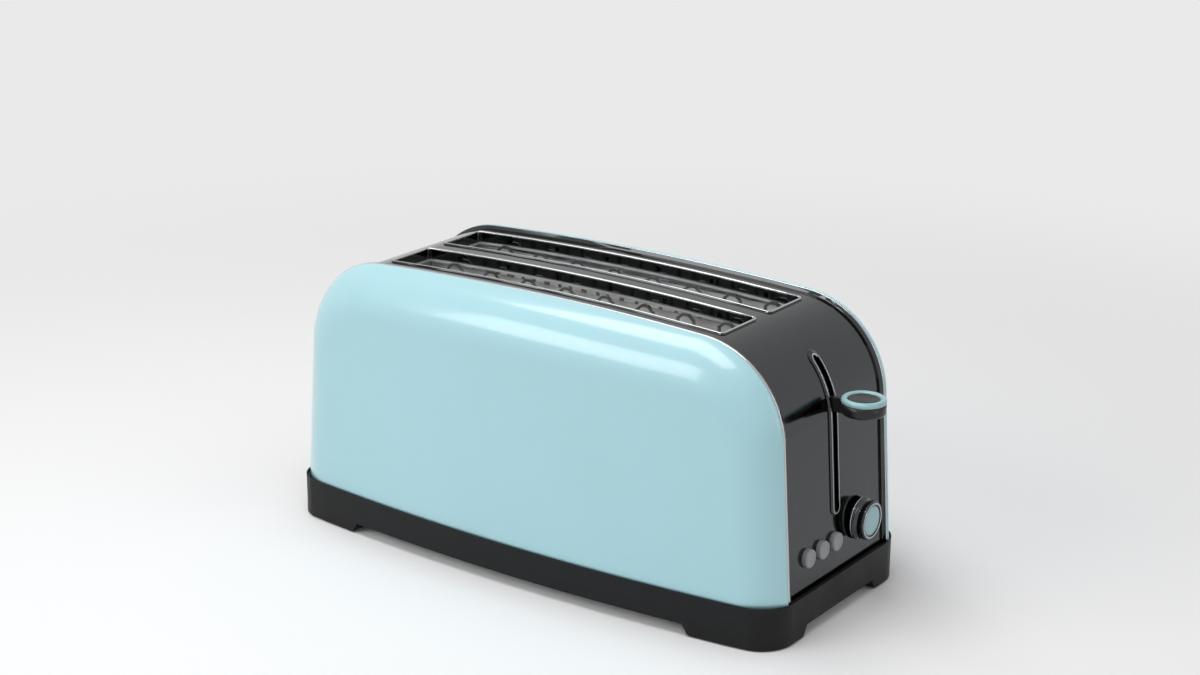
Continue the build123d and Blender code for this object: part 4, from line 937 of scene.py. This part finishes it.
@dataclass
class Lever:
    """Round black finger rest with a shallow dish and a coloured ring of round section."""

    shop: Workshop
    x: float = 201.0
    low: float = 133.5
    seat: float = 141.1
    radius: float = 13.8
    inner: float = 9.7
    ring_height: float = 3.0
    ring_straight: float = 0.35
    edge_round: float = 2.2
    belly: float = 0.25
    dish_floor: float = 0.9
    dish_rise: float = 1.0
    steps: int = 12

    def build(self) -> None:
        """Makes the finger rest and its ring."""
        height = self.seat - self.low
        rise = self.dish_rise * np.linspace(1.0, 0.0, self.steps) ** 2
        dish = beside(height + self.dish_floor + rise, np.linspace(self.inner, 0.0, self.steps))
        middle = [[height / 2.0, self.radius - self.belly], [height, self.radius], [height, self.inner]]
        round_low = arc((self.edge_round, self.radius - self.edge_round), self.edge_round, 180.0, 90.0, 8)
        body = chain([[0.0, 0.0]], round_low, middle, dish)
        self.shop.fit(lathe("lever_finger_rest", Axis.UP, (self.x, 0.0, self.low), body), "lever_knob")
        half = (self.radius - self.inner) / 2.0
        middle = (self.radius + self.inner) / 2.0
        turn = np.radians(np.linspace(0.0, 180.0, 15))
        straight = self.ring_height * self.ring_straight
        top = beside(straight + (self.ring_height - straight) * np.sin(turn), middle + half * np.cos(turn))
        ring = chain([[0.0, self.radius]], top, [[0.0, self.inner], [0.0, self.radius]])
        self.shop.fit(lathe("lever_ring", Axis.UP, (self.x, 0.0, self.seat), ring, 96), "lever_knob_ring")


@dataclass
class BrowningKnob:
    """Dark chrome turned knob with a waist, bright chrome rims as painted highlights on its edges, and the
    coloured disc in its face.
    """

    shop: Workshop
    back_x: float = 187.42
    y: float = 27.0
    z: float = 54.0
    radius: float = 13.5
    length: float = 9.3
    cap_radius: float = 9.6
    rim_radius: float = 0.7
    rim_edge: float = 1.35
    back_rim: Pair = (0.8, 0.55)
    bore: float = 3.0
    edge_drop: float = 0.5
    back_round: float = 0.6
    back_wall: float = 1.7
    waist: Pair = (2.3, 4.4)
    waist_depth: float = 1.6
    waist_power: float = 0.8
    waist_taper: float = 0.3
    front_round: float = 1.1
    front_drop: float = 1.0
    recess: float = 1.1
    lip_flare: float = 0.3
    lip_depth: float = 0.5
    cap_play: float = 0.1
    cap_edge: float = 0.55
    cap_dome: float = 0.35
    steps: int = 12
    turns: int = 96

    def _profile(self) -> Array:
        """Knob's outline: round back edge, waist with a sine's depth, round front and the cap's recess."""
        share = np.linspace(0.0, 1.0, self.steps)
        drop = self.waist_depth * np.sin(share * math.pi) ** self.waist_power + self.waist_taper * share
        waist = beside(self.waist[0] + self.waist[1] * share, self.radius - self.edge_drop - drop)
        back = self.radius - self.back_round
        front = (self.length - self.front_round, self.radius - self.front_drop - self.front_round)
        floor = self.length - self.recess
        return chain([[0.0, self.bore], [0.0, self.radius - self.edge_drop]],
                     arc((self.back_round, back), self.back_round, 180.0, 90.0, 5),
                     arc((self.back_wall, back), self.back_round, 90.0, 20.0, 5), waist,
                     arc(front, self.front_round, 90.0, 0.0, 8),
                     [[self.length, self.cap_radius + self.lip_flare],
                      [self.length - self.lip_depth, self.cap_radius + self.cap_play],
                      [floor, self.cap_radius], [floor, self.bore], [0.0, self.bore]])

    def build(self) -> None:
        """Makes the knob as one turned profile in dark chrome, its two rims in bright chrome as painted
        highlights, and the disc with a soft dome.
        """
        place = (self.back_x, self.y, self.z)
        knob = lathe("browning_knob_turned", Axis.ALONG, place, self._profile(), self.turns)
        self.shop.fit(knob, "browning_knob", "dark_chrome")
        # The two rims take the knob's bright chrome against its dark chrome body: painted highlights on the
        # front lip and the back edge.
        edge = self.length - self.cap_edge
        for name, distance, radius in (
                ("browning_knob_rim_highlight", edge, self.cap_radius + self.rim_edge),
                ("browning_knob_back_rim_highlight", self.back_rim[0], self.radius - self.back_rim[1])):
            ring = arc((distance, radius), self.rim_radius, 0.0, 360.0, 17)
            rim = lathe(name, Axis.ALONG, place, ring, self.turns)
            self.shop.fit(rim, "browning_knob", stands_for=False)
        share = np.linspace(0.0, 1.0, self.steps)
        cap, floor = self.cap_radius - self.cap_play, self.length - self.recess
        rise = self.cap_dome * (1.0 - (1.0 - share) ** 2.0)
        dome = beside(self.length - self.cap_dome + rise, cap * (1.0 - share))
        disc = chain([[floor, 0.0], [floor, cap], [edge, cap]], dome)
        cap_piece = lathe("browning_knob_disc", Axis.ALONG, place, disc, self.turns)
        self.shop.fit(cap_piece, "browning_knob_cap")


@dataclass
class PushButtons:
    """Three small caps with rounded edges, a raised rim and a shallow dish."""

    shop: Workshop
    front_x: float = 189.76
    z: float = 48.0
    first_y: float = -35.0
    pitch: float = 16.4
    radius: float = 5.9
    depth: float = 10.0
    plunger: float = 1.6
    plunger_end: float = 165.1
    edge_round: float = 1.2
    dish: tuple[Pair, ...] = ((-0.15, 4.2), (-0.4, 3.8), (-0.45, 1.8), (-0.45, 0.0))
    turns: int = 64
    names: tuple[str, ...] = ("defrost_button", "reheat_button", "cancel_button")

    def build(self) -> None:
        """Turns one profile for each button."""
        back = self.plunger_end - self.front_x
        stem = [[back, 0.0], [back, self.plunger], [-self.depth, self.plunger], [-self.depth, self.radius]]
        rounding = arc((-self.edge_round, self.radius - self.edge_round), self.edge_round, 90.0, 0.0, 8)
        profile = chain(stem, rounding, self.dish)
        for i, node in enumerate(self.names):
            centre = (self.front_x, self.first_y + i * self.pitch, self.z)
            self.shop.fit(lathe(f"{node}_cap", Axis.ALONG, centre, profile, self.turns), node)


@dataclass
class LiftSprings:
    """Two wound springs over the guide rods: feet on the carriage, heads at the bracket."""

    shop: Workshop
    x: float = 154.0
    y: float = 21.0
    low: float = 117.45
    high: float = 159.35
    radius: float = 4.0
    wire: float = 0.45
    turns: int = 8
    steps: int = 26

    def build(self) -> None:
        """Winds each spring as a helix: radius times cosine and sine of the angle, height even along it."""
        share = np.linspace(0.0, 1.0, self.turns * self.steps + 1)
        angle = 2.0 * math.pi * self.turns * share
        out = beside(np.cos(angle), np.sin(angle), np.zeros(len(angle)))
        for node, middle in (("lift_spring_front", -self.y), ("lift_spring_rear", self.y)):
            path = out * self.radius + np.array([self.x, middle, self.low])
            path[:, 2] += (self.high - self.low) * share
            coil = tube(f"{node}_coil", path, out, np.array([0.0, 0.0, 1.0]), self.wire)
            self.shop.palette.dress(coil, self.shop.slot_of[node])
            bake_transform(coil)
            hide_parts(node)
            self.shop.replaced.add(node)
            LOG.info("%s bends between carriage and chassis", coil.name)


@dataclass
class Studio:
    """Pale floor and soft lamps, in metres, and the photograph's camera, in millimetres and degrees."""

    floor_size: float = 14.0
    floor_roughness: float = 0.7
    pale: Triple = (0.82, 0.82, 0.82)
    fade: Pair = (0.35, 1.1)
    target: Triple = (3.498 + FRAME_SHIFT, 4.897, 141.391)
    distance: float = 1460.036
    azimuth: float = 35.339
    elevation: float = 17.987
    roll: float = 0.601
    lens: float = 67.57
    sensor: float = 36.0
    far_clip: float = 60.0
    lamp_aim: Triple = (0.0, 0.0, 0.1)
    lamps: tuple[tuple, ...] = (("overhead", (-0.15, -0.25, 1.4), (1.5, 0.5), 10.0),
                                ("front", (-0.75, -1.5, 1.1), (1.3, 0.8), 12.0),
                                ("right", (1.6, 0.1, 0.6), (0.25, 0.9), 1.5))
    sky: tuple[tuple, ...] = ((0.0, (0.20, 0.20, 0.205, 1.0)), (0.75, (0.62, 0.62, 0.63, 1.0)))

    def camera(self) -> None:
        """Stands the camera back along its direction, then rolls it about its own view axis."""
        a, e = math.radians(self.azimuth), math.radians(self.elevation)
        back = Vector((math.sin(a) * math.cos(e), -math.cos(a) * math.cos(e), math.sin(e)))
        right = Vector((math.cos(a), math.sin(a), 0.0))
        up = back.cross(right)
        turn = Matrix((right, up, back)).transposed().to_4x4()
        data = bpy.data.cameras.new("view")
        data.lens = self.lens
        data.sensor_width = self.sensor
        data.sensor_fit = "HORIZONTAL"
        data.clip_end = self.far_clip
        obj = add_object("view", data)
        place = (Vector(self.target) + back * self.distance) * MM
        obj.matrix_world = Matrix.Translation(place) @ turn @ Matrix.Rotation(math.radians(self.roll), 4, "Z")
        bpy.context.scene.camera = obj

    @staticmethod
    def _seen(tree: NodeTree) -> NodeSocket:
        """Gives 1 for rays from the camera, off gloss or through glass, which see plain pale surroundings."""
        rays = add_node(tree, "LightPath")
        first = add_node(tree, "Math", operation="MAXIMUM")
        both = add_node(tree, "Math", operation="MAXIMUM")
        wire(rays.outputs["Is Camera Ray"], first)
        wire(rays.outputs["Is Glossy Ray"], first, 1)
        wire(first, both)
        wire(rays.outputs["Is Transmission Ray"], both, 1)
        return both.outputs[0]

    def floor(self) -> None:
        """Lays a pale sheet under the toaster; it keeps the shadow and fades to plain pale far away."""
        half = self.floor_size / 2.0
        corners = [(x * half, y * half, 0.0) for x, y in ((-1, -1), (1, -1), (1, 1), (-1, 1))]
        mesh = bpy.data.meshes.new("floor")
        mesh.from_pydata(corners, [], [(0, 1, 2, 3)])
        obj = add_object("floor", mesh)
        material = bpy.data.materials.new("pale_floor")
        material.use_nodes = True
        tree = material.node_tree
        tree.nodes.clear()
        shader = add_node(tree, "BsdfPrincipled", {
            "Base Color": (*self.pale, 1.0), "Roughness": self.floor_roughness})
        place = add_node(tree, "TexCoord")
        reach = add_node(tree, "VectorMath", operation="LENGTH")
        far = add_node(tree, "MapRange", {1: self.fade[0], 2: self.fade[1]},
                       interpolation_type="SMOOTHSTEP")
        part = add_node(tree, "Math", operation="MULTIPLY")
        glow = add_node(tree, "Emission", {"Color": (*self.pale, 1.0)})
        mix = add_node(tree, "MixShader")
        wire(place.outputs["Object"], reach)
        wire(reach.outputs["Value"], far)
        wire(far, part)
        wire(self._seen(tree), part, 1)
        wire(part, mix)
        wire(shader, mix, 1)
        wire(glow, mix, 2)
        wire(mix, add_node(tree, "OutputMaterial"))
        mesh.materials.append(material)

    def lamp(self, name: str, place: Triple, size: Pair, power: float) -> None:
        """Hangs one rectangular lamp that looks at the toaster's middle.

        Args:
            name: the lamp's name.
            place: its place in metres.
            size: its width and height in metres.
            power: its power in watts.
        """
        data = bpy.data.lights.new(name, "AREA")
        data.shape = "RECTANGLE"
        data.size, data.size_y = size
        data.energy = power
        obj = add_object(name, data)
        obj.location = place
        aim = Vector(self.lamp_aim) - Vector(place)
        obj.rotation_euler = aim.to_track_quat("-Z", "Y").to_euler()

    def world(self) -> None:
        """Surrounds the scene with a grey that is paler overhead, and plain pale where the camera sees it."""
        world = bpy.data.worlds.new("room")
        bpy.context.scene.world = world
        world.use_nodes = True
        tree = world.node_tree
        tree.nodes.clear()
        place = add_node(tree, "TexCoord")
        parts = add_node(tree, "SeparateXYZ")
        ramp = add_node(tree, "ValToRGB")
        for stop, (height, colour) in zip(ramp.color_ramp.elements, self.sky):
            stop.position = height
            stop.color = colour
        shade = add_node(tree, "Background")
        pale = add_node(tree, "Background", {"Color": (*self.pale, 1.0)})
        mix = add_node(tree, "MixShader")
        end = add_node(tree, "OutputWorld")
        wire(place.outputs["Generated"], parts)
        wire(parts.outputs["Z"], ramp)
        wire(ramp, shade)
        wire(self._seen(tree), mix)
        wire(shade, mix, 1)
        wire(pale, mix, 2)
        wire(mix, end)

    def build(self) -> None:
        """Sets up camera, floor, lamps and world."""
        self.camera()
        self.floor()
        self.world()
        for lamp in self.lamps:
            self.lamp(*lamp)
        bpy.context.scene.view_settings.view_transform = "Standard"


def main() -> None:
    """Loads the frame, builds each sub-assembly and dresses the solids."""
    logging.basicConfig(level=logging.INFO, format="%(message)s")
    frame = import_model()
    Studio().build()
    shop = Workshop(frame, Palette())
    for assembly in (BaseForm, Band, SidePanels, Lever, BrowningKnob, PushButtons, LiftSprings):
        assembly(shop).build()
    shop.dress_nodes()


if __name__ == "__main__":
    main()
